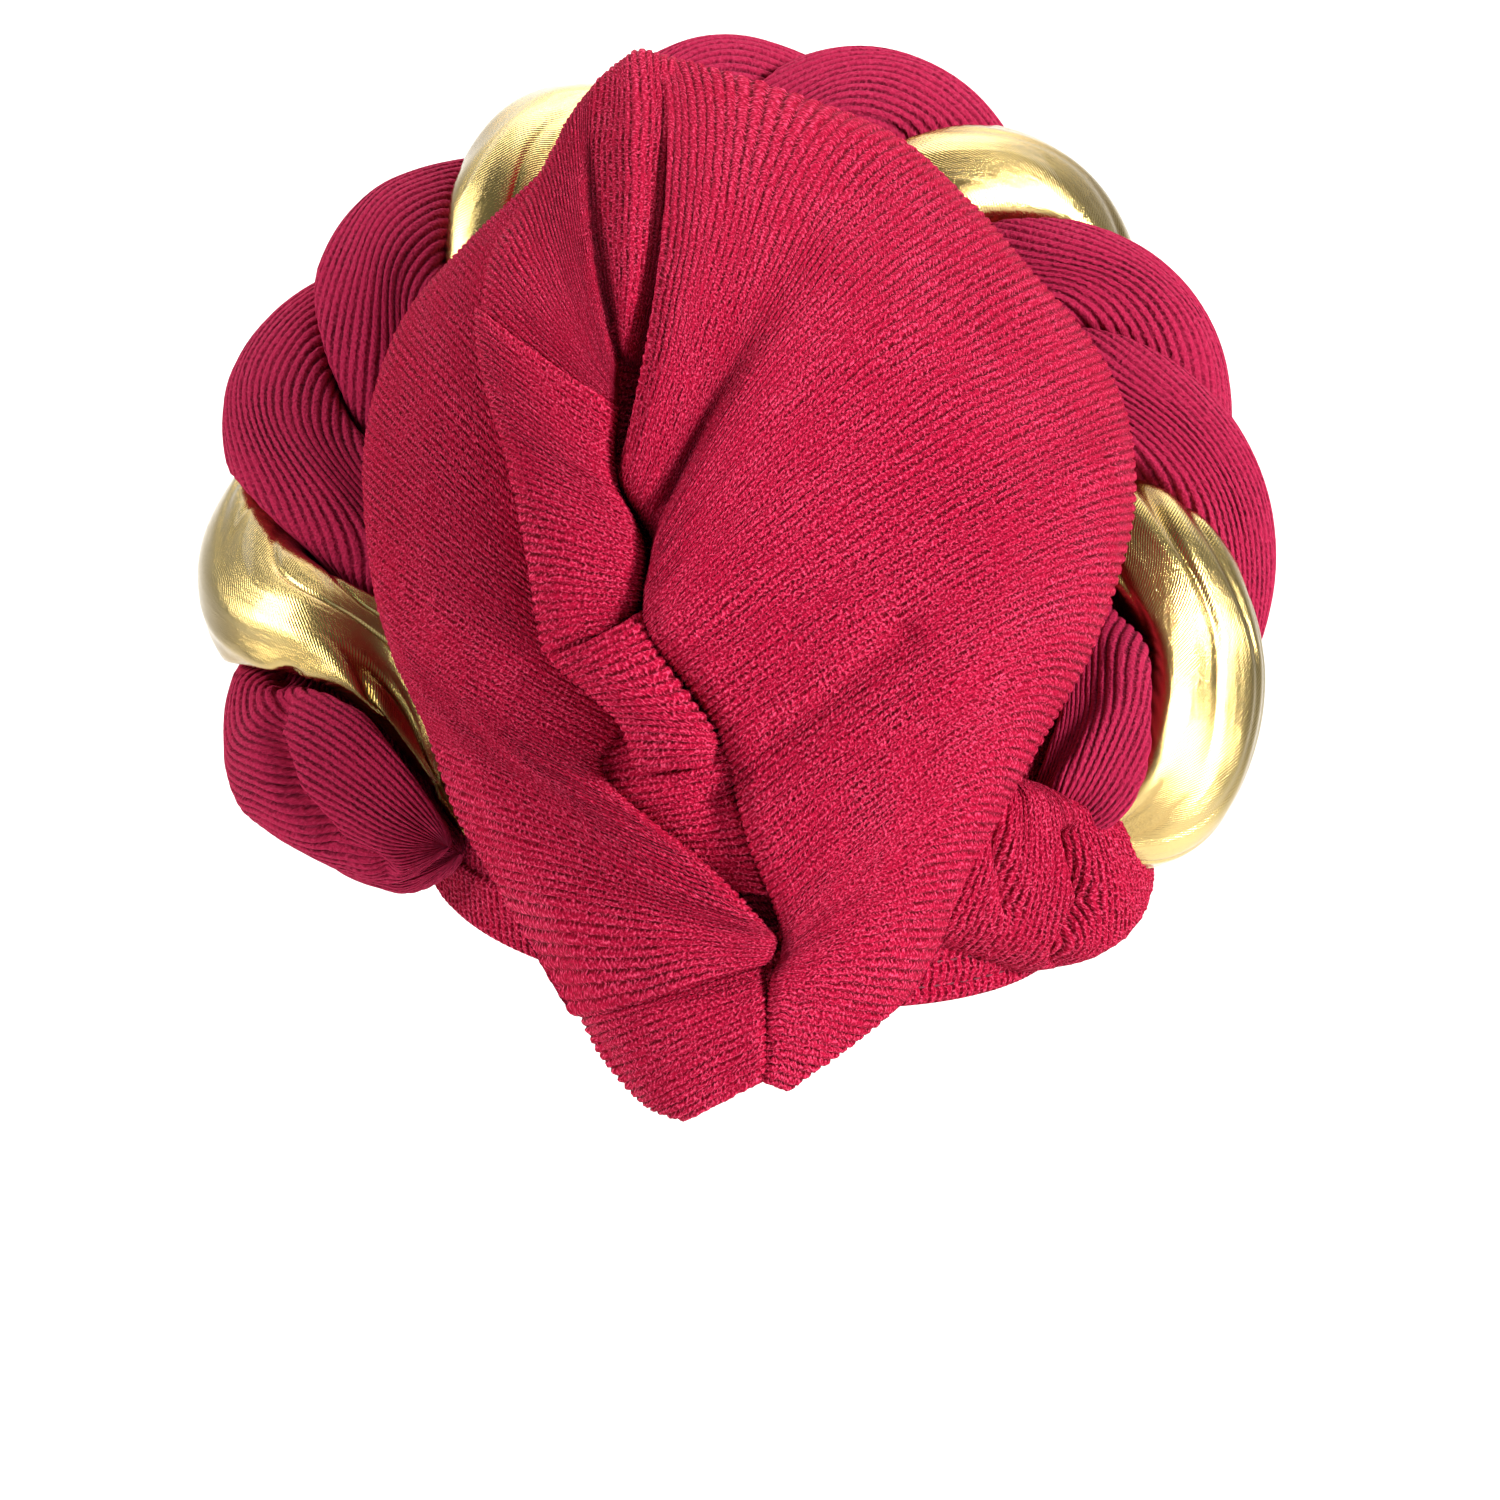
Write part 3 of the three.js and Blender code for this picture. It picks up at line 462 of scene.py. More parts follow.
band_ids = band.add_points(band_skin, 1.0, band_cloth)
band.add_faces(quads_of(closed(closed(band_ids, axis=0))))
hem_band = band.make("hem_band", crepe_wine, BAND_RIBS * RIB_SPAN)
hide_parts("rim_band")
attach(hem_band, "root")

# Gathering stitches: two rows of wine sewing thread that draw the hem band together at the back on the
# wearer's right. Each stitch is short and is pulled down between the ribs.
STITCH_SIZE = (2.8, 0.75, 0.6)
STITCH_PITCH = 4.2
STITCH_SINK = 0.1
STITCH_ROW_ENDS = (-84, -24)
STITCH_ROW_POINTS = 61
STITCH_FACETS = 8
THREAD_WINE = (0.13, 0.003, 0.017, 1.0)
THREAD_ROUGHNESS = 0.7


def plain_material(name, colour, roughness):
    """A material of one colour."""
    material = bpy.data.materials.new(name)
    material.use_nodes = True
    shader = material.node_tree.nodes["Principled BSDF"]
    shader.inputs["Base Color"].default_value = colour
    shader.inputs["Roughness"].default_value = roughness
    return material


row_angles = np.radians(np.linspace(*STITCH_ROW_ENDS, STITCH_ROW_POINTS))
row_gather = bell(row_angles - GATHER_ANGLE, GATHER_REACH)
row_wall = CLOTH_WALL / 2 - (band_half + BAND_RELIEF - GATHER_DEPTH * row_gather - STITCH_SINK)
row_feet = rim_height(row_angles)
stitch_rows = [cap_point(row_angles, row_feet + level, row_wall) * MM for level in GATHER_HEIGHTS]
row_ids = np.arange(row_angles.size * len(stitch_rows)).reshape(len(stitch_rows), -1)
row_edges = np.stack([row_ids[:, :-1], row_ids[:, 1:]], axis=-1).reshape(-1, 2)
row_mesh = bpy.data.meshes.new("stitch_rows")
row_mesh.from_pydata(np.concatenate(stitch_rows).tolist(), row_edges.tolist(), [])
hem_stitches = add_object("hem_stitches", row_mesh)

stitching = bpy.data.node_groups.new("gathering_stitches", "GeometryNodeTree")
sockets = {}
for name, way, kind in (
    ("Rows", "INPUT", "NodeSocketGeometry"), ("Stitch pitch", "INPUT", "NodeSocketFloat"),
    ("Stitch size", "INPUT", "NodeSocketVector"), ("Thread", "INPUT", "NodeSocketMaterial"),
    ("Stitches", "OUTPUT", "NodeSocketGeometry"),
):
    sockets[name] = stitching.interface.new_socket(name, in_out=way, socket_type=kind).identifier
sewing = Shade(stitching)
rows, pitch, size, yarn = [sewing.node("NodeGroupInput", output=number) for number in range(4)]
line = sewing.node("GeometryNodeMeshToCurve", None, {"Mesh": rows})
line = sewing.node("GeometryNodeResampleCurve", {"mode": "LENGTH"}, {"Curve": line, "Length": pitch})
stitch = sewing.node("GeometryNodeMeshUVSphere", None, {
    "Segments": STITCH_FACETS, "Rings": STITCH_FACETS, "Radius": 0.5,
})
stitch = sewing.node("GeometryNodeSetShadeSmooth", None, {"Geometry": stitch})
tangent = sewing.node("GeometryNodeInputTangent")
turn = sewing.node("FunctionNodeAlignRotationToVector", {"axis": "X"}, {"Vector": tangent})
sewn = sewing.node("GeometryNodeInstanceOnPoints", None, {
    "Points": line, "Instance": stitch, "Rotation": turn, "Scale": size,
})
sewn = sewing.node("GeometryNodeRealizeInstances", None, {"Geometry": sewn})
sewn = sewing.node("GeometryNodeSetMaterial", None, {"Geometry": sewn, "Material": yarn})
sewing.node("NodeGroupOutput", None, {"Stitches": sewn})
sew = hem_stitches.modifiers.new("sew", "NODES")
sew.node_group = stitching
sew[sockets["Stitch pitch"]] = STITCH_PITCH * MM
sew[sockets["Stitch size"]] = [side * MM for side in STITCH_SIZE]
sew[sockets["Thread"]] = plain_material("wine_thread", THREAD_WINE, THREAD_ROUGHNESS)
sewn_rows = hem_stitches.evaluated_get(bpy.context.evaluated_depsgraph_get())
stitch_mesh = bpy.data.meshes.new_from_object(sewn_rows)
hem_stitches.modifiers.remove(sew)
hem_stitches.data = stitch_mesh
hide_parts("rim_band")
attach(hem_stitches, "root")

# Braid: three stuffed tubes of cloth, two of ribbed wine crepe and one of gold lame, laid round each
# other like a rope. The braid stands round the back of the head from ear to ear, sewn to the cap, and
# its ends narrow against the cap just above the hem.
# Columns: x, y, z of the path as seen from behind, swing of a strand about the path, girth, lead.
BRAID_PATH = np.array([
    (-77, -57, 46, 4.0, 0.35, 36),
    (-85, -50, 54, 6.5, 0.70, 10),
    (-95, -36, 70, 10.0, 1.00, -22),
    (-104, -18, 92, 12.0, 1.00, -18),
    (-106, -3, 125, 12.0, 1.00, -12),
    (-95, 9, 164, 12.0, 1.00, -6),
    (-67, 18, 192, 12.0, 1.00, 0),
    (-34, 24, 211, 12.0, 1.00, 0),
    (-1, 26, 218, 12.0, 1.00, 6),
    (33, 24, 213, 12.0, 1.00, 12),
    (64, 18, 191, 12.0, 1.00, 15),
    (86, 9, 162, 12.0, 1.00, 18),
    (97, -3, 125, 12.0, 1.00, 12),
    (96, -18, 92, 12.0, 1.00, -2),
    (90, -35, 70, 10.0, 0.95, -36),
    (82, -49, 55, 7.0, 0.75, -60),
    (76, -56, 45, 4.0, 0.40, -84),
], dtype=float)
BRAID_STRANDS = 3
BRAID_CENTRE = (-1.0, 125.0)
BRAID_FACE_TILT = math.radians(65)
BRAID_REPEAT = math.radians(70.9)
GOLD_OUTER_ANGLE = math.radians(187)
BRAID_FLATNESS = 0.85
STRAND_HALF_WIDTH = 28.0
STRAND_HALF_THICKNESS = 22.0
STRAND_GAP = 1.6
SQUEEZE_POWER = 8
STRAND_SECTIONS = 300
RAYS_PER_SIDE = 4
# Folds that split the end of a wine strand.
# Columns: start and end of a fold as seen from behind, its depth and its width.
STRAND_FOLDS = (
    (-122, 88, -126, 75, 9.0, 2.4),
    (-126, 75, -121, 59, 9.0, 2.4),
    (-121, 59, -110, 46, 9.0, 2.4),
    (-110, 46, -96, 38, 7.0, 2.4),
)
# For the first and the last end of a strand: the length that is drawn thin, and that over which it
# rounds off.
WINE_STRAND_ENDS = ((0.0, 9.0), (0.0, 9.0))
THINNEST_END = 0.02
# Direction across the braid from which the ribs of a strand are counted.
RIBS_FROM = math.radians(200)
# Number of sections to either side over which the course of a rib is averaged.
RIB_STRAIGHTENING = 24
CAP_CLEARANCE = 1.6
CLEARING_ROUNDS = 14
# Neighbours along a strand and round it over which the drawing in is eased out.
EASING_REACH = (5, 8)
# Relief that is left where a strand is drawn in most.
SQUEEZED_RELIEF = 0.15
TANGENT_STEP = 0.03
WINE_STRAND_RIBS = 50
WINE_STRAND_SAMPLES = 5
WINE_STRAND_RELIEF = 0.75
# Wavelengths along a strand in sections and round it in points, and heights, of its folds and its
# uneven ribs.
WINE_FOLD_WAVE = (60.0, 50.0)
WINE_FOLD = 0.8
WINE_SWELL_WAVE = (14.0, 9.0)
WINE_SWELL = 0.3

# The drape's outer form, which the strands keep clear of.
# Columns: z, outline at the left and right as seen from behind, depth at the rim and at the middle.
DRAPE_LEVELS = np.array([
    (256, -36, -6, -14, -16),
    (230, -53, 39, -16, -54),
    (187, -90, 80, -28, -98),
    (143, -103, 100, -42, -122),
    (96, -96, 91, -56, -128),
    (44, -75, 61, -72, -118),
    (0, -44, 36, -82, -106),
    (-28, -24, 0, -92, -98),
], dtype=float)
DRAPE_FULLNESS = 2.4
DRAPE_ROOM_SIDE = 1.5
DRAPE_ROOM_FRONT = 11.0
DRAPE_ROOM_CORNER = 6.0


def seen(x, z, y):
    """A place as seen from behind, brought to its depth y."""
    scale = (EYE_DISTANCE + y) / EYE_DISTANCE
    return stacked(x * scale, y, EYE_HEIGHT + (z - EYE_HEIGHT) * scale)


def as_seen(points):
    """Places of points as seen from behind: x and z."""
    scale = EYE_DISTANCE / (EYE_DISTANCE + points[..., 1])
    return points[..., 0] * scale, EYE_HEIGHT + (points[..., 2] - EYE_HEIGHT) * scale


def through(column, at):
    """A smooth value through the numbers of one column, at fractional rows."""
    last = len(column) - 1
    i = np.clip(np.floor(at).astype(int), 0, last - 1)
    t = at - i
    b, c = column[i], column[i + 1]
    a = np.where(i > 0, column[np.maximum(i - 1, 0)], 2 * b - c)
    d = np.where(i + 2 <= last, column[np.minimum(i + 2, last)], 2 * c - b)
    return b + 0.5 * t * (c - a + t * (2 * a - 5 * b + 4 * c - d + t * (3 * (b - c) + d - a)))


def columns_at(table, row):
    """Smooth values of a table's columns at fractional rows."""
    return [through(column, row) for column in table.T]


def drape_levels(z):
    """Outline and depths of the drape's outer form at a height."""
    rows = np.arange(len(DRAPE_LEVELS), dtype=float)
    return columns_at(DRAPE_LEVELS[:, 1:], np.interp(z, DRAPE_LEVELS[::-1, 0], rows[::-1]))


def drape_form(x, z):
    """Depth of the drape's outer form at a place seen from behind."""
    left, right, rim, back = drape_levels(z)
    half = (right - left) / 2
    across = np.abs((x - left - half) / np.maximum(half, 1.0))
    return rim + (back - rim) * np.sqrt(1 - np.minimum(across, 1) ** DRAPE_FULLNESS)


def taken(points):
    """Which points lie in the room of the cap or of the drape."""
    x, y, z = points[..., 0], points[..., 1], points[..., 2]
    half, back, front = cap_outline(np.maximum(z, 0), -CAP_CLEARANCE)
    reach = np.where(y < 0, back, front)
    in_cap = (x / np.maximum(half, 1)) ** 2 + (y / np.maximum(reach, 1)) ** 2 < 1
    in_cap &= (z < CAP_CROWN + CAP_CLEARANCE) & (half > 1)
    seen_x, seen_z = as_seen(points)
    left, right, rim, _ = drape_levels(seen_z)
    side = np.minimum(seen_x - left, right - seen_x) + DRAPE_ROOM_SIDE
    corner = np.clip(DRAPE_ROOM_CORNER - side, 0, DRAPE_ROOM_CORNER)
    return in_cap | ((side > 0) & (y < rim + DRAPE_ROOM_FRONT - corner))


def braid_frames(at):
    """Middle line of the braid, the two directions across it, and the lay of its strands."""
    def place(t):
        x, y, z = columns_at(BRAID_PATH[:, :3], t)
        return seen(x, z, y)
    middle = place(at)
    ahead = unit(place(at + TANGENT_STEP) - place(at - TANGENT_STEP))
    low = middle[:, 2] < BRAID_CENTRE[1]
    centre_z = np.where(low, (BRAID_CENTRE[1] + middle[:, 2]) / 2, BRAID_CENTRE[1])
    outward = stacked(middle[:, 0] - BRAID_CENTRE[0], 0 * at, middle[:, 2] - centre_z)
    outward = unit(outward - ahead * np.sum(outward * ahead, axis=-1, keepdims=True))
    forward = np.cross(ahead, outward)
    forward *= np.sign(forward[:, 1:2])
    c, s = math.cos(BRAID_FACE_TILT), math.sin(BRAID_FACE_TILT)
    path_x, _, path_z, _, _, lead = columns_at(BRAID_PATH, at)
    angle = np.arctan2(path_z - BRAID_CENTRE[1], path_x - BRAID_CENTRE[0])
    angle = np.where(angle < -np.pi / 2, angle + 2 * np.pi, angle)
    lay = 2 * np.pi * (GOLD_OUTER_ANGLE - angle) / BRAID_REPEAT
    phase = BRAID_FACE_TILT + lay + np.radians(lead)
    return middle, outward * s + forward * c, outward * c - forward * s, phase


def padding(axis, before, after):
    """How many rows (axis 0) or columns (axis 1) a grid is padded by."""
    return [(before, after) if k == axis else (0, 0) for k in (0, 1)]


def running(grid, axis):
    """Running length along a grid's rows or columns."""
    length = np.cumsum(np.linalg.norm(np.diff(grid, axis=axis), axis=-1), axis=axis)
    return np.pad(length, padding(axis, 1, 0))


def windows(values, axis, reach):
    """Neighbours of every value of a tube's grid, along it (axis 0) or round it (axis 1)."""
    padded = np.pad(values, padding(axis, reach, reach), mode="wrap" if axis == 1 else "edge")
    return np.lib.stride_tricks.sliding_window_view(padded, 2 * reach + 1, axis=axis)


def strand_grid(number, sides, ends):
    """Rings of points round one strand, evenly spaced round it, its own middle, and the run of the braid."""
    at = np.linspace(0, len(BRAID_PATH) - 1, STRAND_SECTIONS + 1)
    middle, sideways, face, phase = braid_frames(at)
    swing, girth = columns_at(BRAID_PATH[:, 3:5], at)
    own, *others = [
        stacked(swing * np.sin(phase + turn), BRAID_FLATNESS * swing * np.cos(phase + turn))
        for turn in 2 * np.pi / BRAID_STRANDS * (number + np.arange(BRAID_STRANDS))
    ]
    theta = RIBS_FROM + np.linspace(0, 2 * np.pi, RAYS_PER_SIDE * sides + 1)
    ray = stacked(np.cos(theta), np.sin(theta))[None, :]
    wide = STRAND_HALF_WIDTH * girth[:, None]
    thick = STRAND_HALF_THICKNESS * girth[:, None]
    squeeze = np.hypot(ray[..., 0] / wide, ray[..., 1] / thick) ** SQUEEZE_POWER
    for other in others:
        gap = other - own
        apart = np.linalg.norm(gap, axis=-1)[:, None]
        towards = np.maximum(np.sum(gap[:, None, :] * ray, axis=-1) / apart, 0)
        squeeze += (towards / ((apart - STRAND_GAP) / 2)) ** SQUEEZE_POWER
    radius = squeeze ** (-1 / SQUEEZE_POWER)
    run = running(middle[:, None], 0)[:, 0]
    (first_bare, first_end), (last_bare, last_end) = ends
    near_end = np.minimum((run - first_bare) / first_end, (run[-1] - run - last_bare) / last_end)
    near_end = np.clip(near_end, 0, 1)
    radius *= np.sqrt(np.maximum(1 - (1 - near_end) ** 2, THINNEST_END ** 2))[:, None]
    steps = running(radius[..., None] * ray, 1)
    even = np.arange(sides) / sides
    angle = np.stack([np.interp(even * step[-1], step, theta) for step in steps])
    angle = np.mean(windows(angle, 0, RIB_STRAIGHTENING), axis=-1)
    radius = np.stack([np.interp(here, theta, row) for here, row in zip(angle, radius)])
    ring = own[:, None, :] + radius[..., None] * stacked(np.cos(angle), np.sin(angle))
    def lift(place):
        return middle[:, None, :] + place[..., :1] * sideways[:, None, :] + place[..., 1:] * face[:, None, :]
    return lift(ring), lift(own[:, None, :]), run


def eased(share):
    """Shares eased out so that they change slowly, and are nowhere larger than they were."""
    for combine in (np.min, np.mean):
        for axis, reach in enumerate(EASING_REACH):
            share = combine(windows(share, axis, reach), axis=-1)
    return share


def kept_clear(points, centre):
    """Points drawn in towards the strand's middle until they leave the room of cap and drape, and the
    share of their distance from it that is left."""
    low = np.zeros(points.shape[:-1])
    high = np.ones(points.shape[:-1])
    whole = ~taken(points)
    for _ in range(CLEARING_ROUNDS):
        share = (low + high) / 2
        inside = taken(centre + (points - centre) * share[..., None])
        high = np.where(inside, share, high)
        low = np.where(inside, low, share)
    share = eased(np.where(whole, 1.0, low))
    return centre + (points - centre) * share[..., None], share


def close_tube(cloth_mesh, ids, ends):
    """Faces of a tube from its rings, with a fan over each end."""
    wrapped = closed(ids)
    cloth_mesh.add_faces(quads_of(wrapped))
    cloth_mesh.add_faces(fan(wrapped[0], ends[0]))
    cloth_mesh.add_faces(fan(wrapped[-1], ends[1]))


def crease_depth(creases, x, z):
    """Depth of the deepest of some creases at places seen from behind."""
    deepest = np.zeros(np.shape(x))
    for x0, z0, x1, z1, depth, width in creases:
        dx, dz = x1 - x0, z1 - z0
        near = np.clip(((x - x0) * dx + (z - z0) * dz) / (dx * dx + dz * dz), 0, 1)
        away = np.hypot(x - x0 - near * dx, z - z0 - near * dz)
        deepest = np.maximum(deepest, depth * bell(away, width))
    return deepest


def make_strand(name, number, sides, ends, width, tone, relief, material, node):
    """One strand of the braid. width is that of its cloth, tone how its relief shows in the material: how
    dark the painted shade in the wine's grooves is, or the painted shade and highlight of the gold's folds.
    """
    skin, centre, run = strand_grid(number, sides, ends)
    skin, share = kept_clear(skin, centre)
    normal = grid_normals(skin, tube=True)
    out = np.sign(np.sum(normal * (skin - centre), axis=-1).sum())
    height = relief * (SQUEEZED_RELIEF + (1 - SQUEEZED_RELIEF) * share)
    fold = crease_depth(STRAND_FOLDS, *as_seen(skin))
    height = height - fold * np.clip(-normal[..., 1] * out, 0, 1)
    skin = skin + normal * out * height[..., None]
    cloth = stacked(run[:, None] / CM, np.arange(sides)[None, :] * width / sides)
    strand = ClothMesh()
    ids = strand.add_points(skin, tone, cloth)
    poles = strand.add_points(centre[[0, -1], 0], LINING_RELIEF, np.zeros(2))
    close_tube(strand, ids, poles)
    piece = strand.make(name, material, width)
    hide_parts(node)
    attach(piece, "root")


# Tones of the stretched crepe of the tubes: grooves in painted shade, crest, and a pale tone for painted
# highlights on the crinkles and random pale patches.
TUBE_TONES = ((0.09, 0.003, 0.014, 1.0), (0.35, 0.0125, 0.052, 1.0), (0.46, 0.04, 0.10, 1.0))
tube_wine = wine_cloth("tube_wine", TUBE_TONES, groove=0.26, crinkle_strength=0.5)
wine_sides = WINE_STRAND_RIBS * WINE_STRAND_SAMPLES
strand_rib = rib_profile(np.arange(wine_sides) / WINE_STRAND_SAMPLES)[None, :]
along = np.arange(STRAND_SECTIONS + 1)[:, None]
wine_around = np.arange(wine_sides)[None, :]
for name, number, seed in (("strand_wine_a", 1, 21), ("strand_wine_b", 2, 22)):
    fold = wander(along, wine_around, WINE_FOLD_WAVE, seed)
    swell = wander(along, wine_around, WINE_SWELL_WAVE, seed + 10)
    relief = WINE_STRAND_RELIEF * strand_rib * (1 + WINE_SWELL * swell) + WINE_FOLD * fold
    make_strand(
        name, number, wine_sides, WINE_STRAND_ENDS, WINE_STRAND_RIBS * RIB_SPAN, 1.0, relief, tube_wine,
        "braid_" + name,
    )

# Gold strand of the braid: a stuffed tube of woven gold lame, smooth and shiny, with long creases
# where the tube is pulled and squeezed between its neighbours.
GOLD = (0.68, 0.51, 0.19, 1.0)
GOLD_DEEP_AND_SHADED = (0.30, 0.15, 0.015, 1.0)
# Wavelengths below are along the strand in sections, and round it as a share of its girth.
GOLD_SWELL = 1.3
GOLD_SWELL_WAVE = (90.0, 1 / 4)
GOLD_RIPPLE = 0.2
GOLD_RIPPLE_WAVE = (45.0, 1 / 9)
GOLD_CREASE_DEPTH = 2.2
GOLD_CREASE_WIDTH = 0.16
GOLD_CREASE_WAVE = (80.0, 1 / 5)
# How deep a crease stays where the strand isn't squeezed.
GOLD_LOOSE_CREASE = 0.2
GOLD_SEED = 31
GOLD_STRAND_SIDES = 180
GOLD_STRAND_ENDS = ((16.0, 30.0), (4.0, 30.0))
GOLD_STRAND_WIDTH = 15.0
# Painted light of the gold's folds: the tone of the smooth cloth, the painted highlight that swells add to
# it, and the painted shade that creases take away.
GOLD_TONE = 0.8
GOLD_SWELL_HIGHLIGHT = 0.3
GOLD_CREASE_SHADE = 0.8
# What the folds (their painted shade and highlight), the grain and the weave add to the tone between the
# deep, shaded gold and bright gold.
LAME_PAINTED_FOLD_LIGHT = 0.9
LAME_GRAIN_TONE = 0.8
LAME_WEAVE_TONE = 0.12
LAME_LEAST_TONE = 0.05
# What the weave, the grain and the crushing add to the bumps.
LAME_WEAVE_BUMP = 0.15
LAME_GRAIN_BUMP = 0.25
LAME_CRUSH_BUMP = 0.7

lame, shade, cloth, painted_fold_light = cloth_material("gold_lame")
twill = shade.node("ShaderNodeMapping", None, {"Vector": cloth, "Rotation": (0.0, 0.0, 0.8)})
weave = shade.node("ShaderNodeTexWave", {"wave_profile": "SIN"}, {
    "Vector": twill, "Scale": 5.0, "Distortion": 0.6,
})
grain = shade.node("ShaderNodeTexNoise", None, {"Vector": cloth, "Scale": 26.0, "Detail": 3.0})
crush = shade.node("ShaderNodeMapping", None, {"Vector": cloth, "Scale": (0.8, 3.2, 1.0)})
crush = shade.node("ShaderNodeTexNoise", None, {"Vector": crush, "Scale": 1.0, "Detail": 3.0})
# Painted shade and highlight: the gold is coloured darker in its creases and brighter on its swells.
tone = painted_fold_light * LAME_PAINTED_FOLD_LIGHT + (grain - 0.5) * LAME_GRAIN_TONE + weave * LAME_WEAVE_TONE
tone = tone + LAME_LEAST_TONE
lame_height = weave * LAME_WEAVE_BUMP + grain * LAME_GRAIN_BUMP + crush * LAME_CRUSH_BUMP
lame_bump = shade.node("ShaderNodeBump", None, {"Strength": 0.6, "Distance": 0.0006, "Height": lame_height})
lame_surface = shade.node("ShaderNodeBsdfPrincipled", None, {
    "Base Color": tone.mix(GOLD_DEEP_AND_SHADED, GOLD), "Metallic": 1.0, "Roughness": 0.14 + grain * 0.14,
    "Coat Weight": 0.5, "Coat Roughness": 0.1, "Normal": lame_bump,
})
shade.node("ShaderNodeOutputMaterial", None, {"Surface": lame_surface})

around = np.arange(GOLD_STRAND_SIDES)[None, :] / GOLD_STRAND_SIDES
lay = braid_frames(np.linspace(0, len(BRAID_PATH) - 1, STRAND_SECTIONS + 1))[3][:, None]
squeezed = 0.5 - 0.5 * np.cos(lay - BRAID_FACE_TILT)
swell = wander(along, around, GOLD_SWELL_WAVE, GOLD_SEED)
swell = swell + GOLD_RIPPLE * wander(along, around, GOLD_RIPPLE_WAVE, GOLD_SEED + 1)
course = wander(along, around, GOLD_CREASE_WAVE, GOLD_SEED + 2)
crease = bell(course, GOLD_CREASE_WIDTH) * (GOLD_LOOSE_CREASE + (1 - GOLD_LOOSE_CREASE) * squeezed)
# Painted light: swells are coloured lighter, and creases darker the more the strand is squeezed there.
gold_painted_light = np.clip(GOLD_TONE + GOLD_SWELL_HIGHLIGHT * swell - GOLD_CREASE_SHADE * crease, 0, 1)
gold_relief = GOLD_SWELL * swell - GOLD_CREASE_DEPTH * crease
make_strand(
    "strand_gold", 0, GOLD_STRAND_SIDES, GOLD_STRAND_ENDS, GOLD_STRAND_WIDTH, gold_painted_light,
    gold_relief, lame, "braid_strand_gold",
)

# Back drape, right panel: one length of ribbed wine crepe, gathered along the seam and puffed out over
# the back of the head. It turns under at its rim and is sewn to the cap; its tip hangs at the nape.
# Columns: from_x, from_z at the seam, to_x, to_z at the ridge, rim_x, rim_z, bow, lift at the seam,
# half-way and at the ridge; places are as seen from behind.
RIGHT_RIBS = np.array([
    (-36, 141, -22, 236, -25, 252, -3, 3, 4, 3),
    (-33, 136, -9, 236, -13, 251, -4, 8, 9, 4),
    (-27, 126, 20, 226, 34, 234, 0, 2, 1, 2),
    (-27, 121, 42, 209, 56, 216, 6, 9, 9, 3),
    (-29, 109, 64, 190, 75, 194, 7, 10, 10, 5),
    (-28, 99, 80, 173, 90, 176, 6, 10, 9, 6),
    (-20, 89, 87, 157, 98, 160, 4, 8, 8, 6),
    (-13, 80, 87, 143, 101, 146, 3, 7, 7, 6),
    (-7, 69, 85, 126, 100, 127, 3, 6, 6, 6),
    (-2, 48, 77, 100, 90, 97, 3, 6, 6, 4),
    (6.5, 26, 63, 71, 73, 67, 2, 6, 5, 2),
    (7, 17, 48, 40, 58, 40, 2, 3, 2, 0),
    (4, 8, 31, 7, 40, 6, 1, 4, 3, 0),
    (2.2, -16.5, 6, -18, 9, -19, 0, 2, 1, 0),
], dtype=float)
# Columns: start and end of a soft crease as seen from behind, its depth and its width.
CREASES = ((-10, 58, 38, 99, 4.0, 6.0),)
RIB_PITCH = 2.1
RIB_SAMPLES = 4
RIB_RELIEF = 0.6
RIB_WAVER = 0.25
# Wavelengths along the ribs in millimetres and across them in ribs: slow and quick wavering of the
# ribs, and their knobbles.
SLOW_WAVER_WAVE = (45.0, 9.0)
QUICK_WAVER_WAVE = (9.0, 3.0)
QUICK_WAVER = 0.35
KNOBBLE_WAVE = (2.4, 1.3)
KNOBBLE = 0.4
# Puckers at the seam: wavelengths across and along the ribs, length over which they die out, and
# length over which they start.
PUCKER_WAVE = (4.5, 60.0)
PUCKER_REACH = 28.0
PUCKER_START = 6.0
# Least and greatest height of a rib, against that of a rib at its own pitch.
RIB_SPREAD = (0.1, 1.15)
# Rows and columns of points that the ribs of a panel are counted on, and where those columns start.
GUIDE_ROWS = 241
GUIDE_COLUMNS = 6
GUIDE_FROM = 0.5
SKIN_STEP = 4
# Cloth turned under the rim: its gap from the cap, how far it leans to the face, its highest place, and
# the heights over which it turns in ever more, from a least share on.
TURN_GAP = 4.0
TURN_LEAN = 25.0
TURN_HIGHEST = 182.0
TURN_FROM = 15.0
TURN_OVER = 45.0
TURN_LEAST = 0.12
# Shares of the cloth over which the ridge is rounded, before and past it, and then the rim.
RIDGE_ROUND_INSIDE = 0.2
RIDGE_ROUND_OUTSIDE = 0.55
RIM_ROUND_OUTSIDE = 0.4
RIM_ROUND_UNDER = 0.14
RIM_STEPS = np.concatenate([
    np.linspace(start, end, points)[1:] for start, end, points in (
        (1, 2 - RIM_ROUND_OUTSIDE, 5), (2 - RIM_ROUND_OUTSIDE, 2, 7),
        (2, 2 + RIM_ROUND_UNDER, 7), (2 + RIM_ROUND_UNDER, 3, 5),
    )
])


def between(start, end, share):
    """A value that is a share of the way from one to another."""
    return start + (end - start) * share


def hump(share):
    """A rise from 0 at the start to 1 half-way, and back to 0 at the end."""
    return 4 * share * (1 - share)


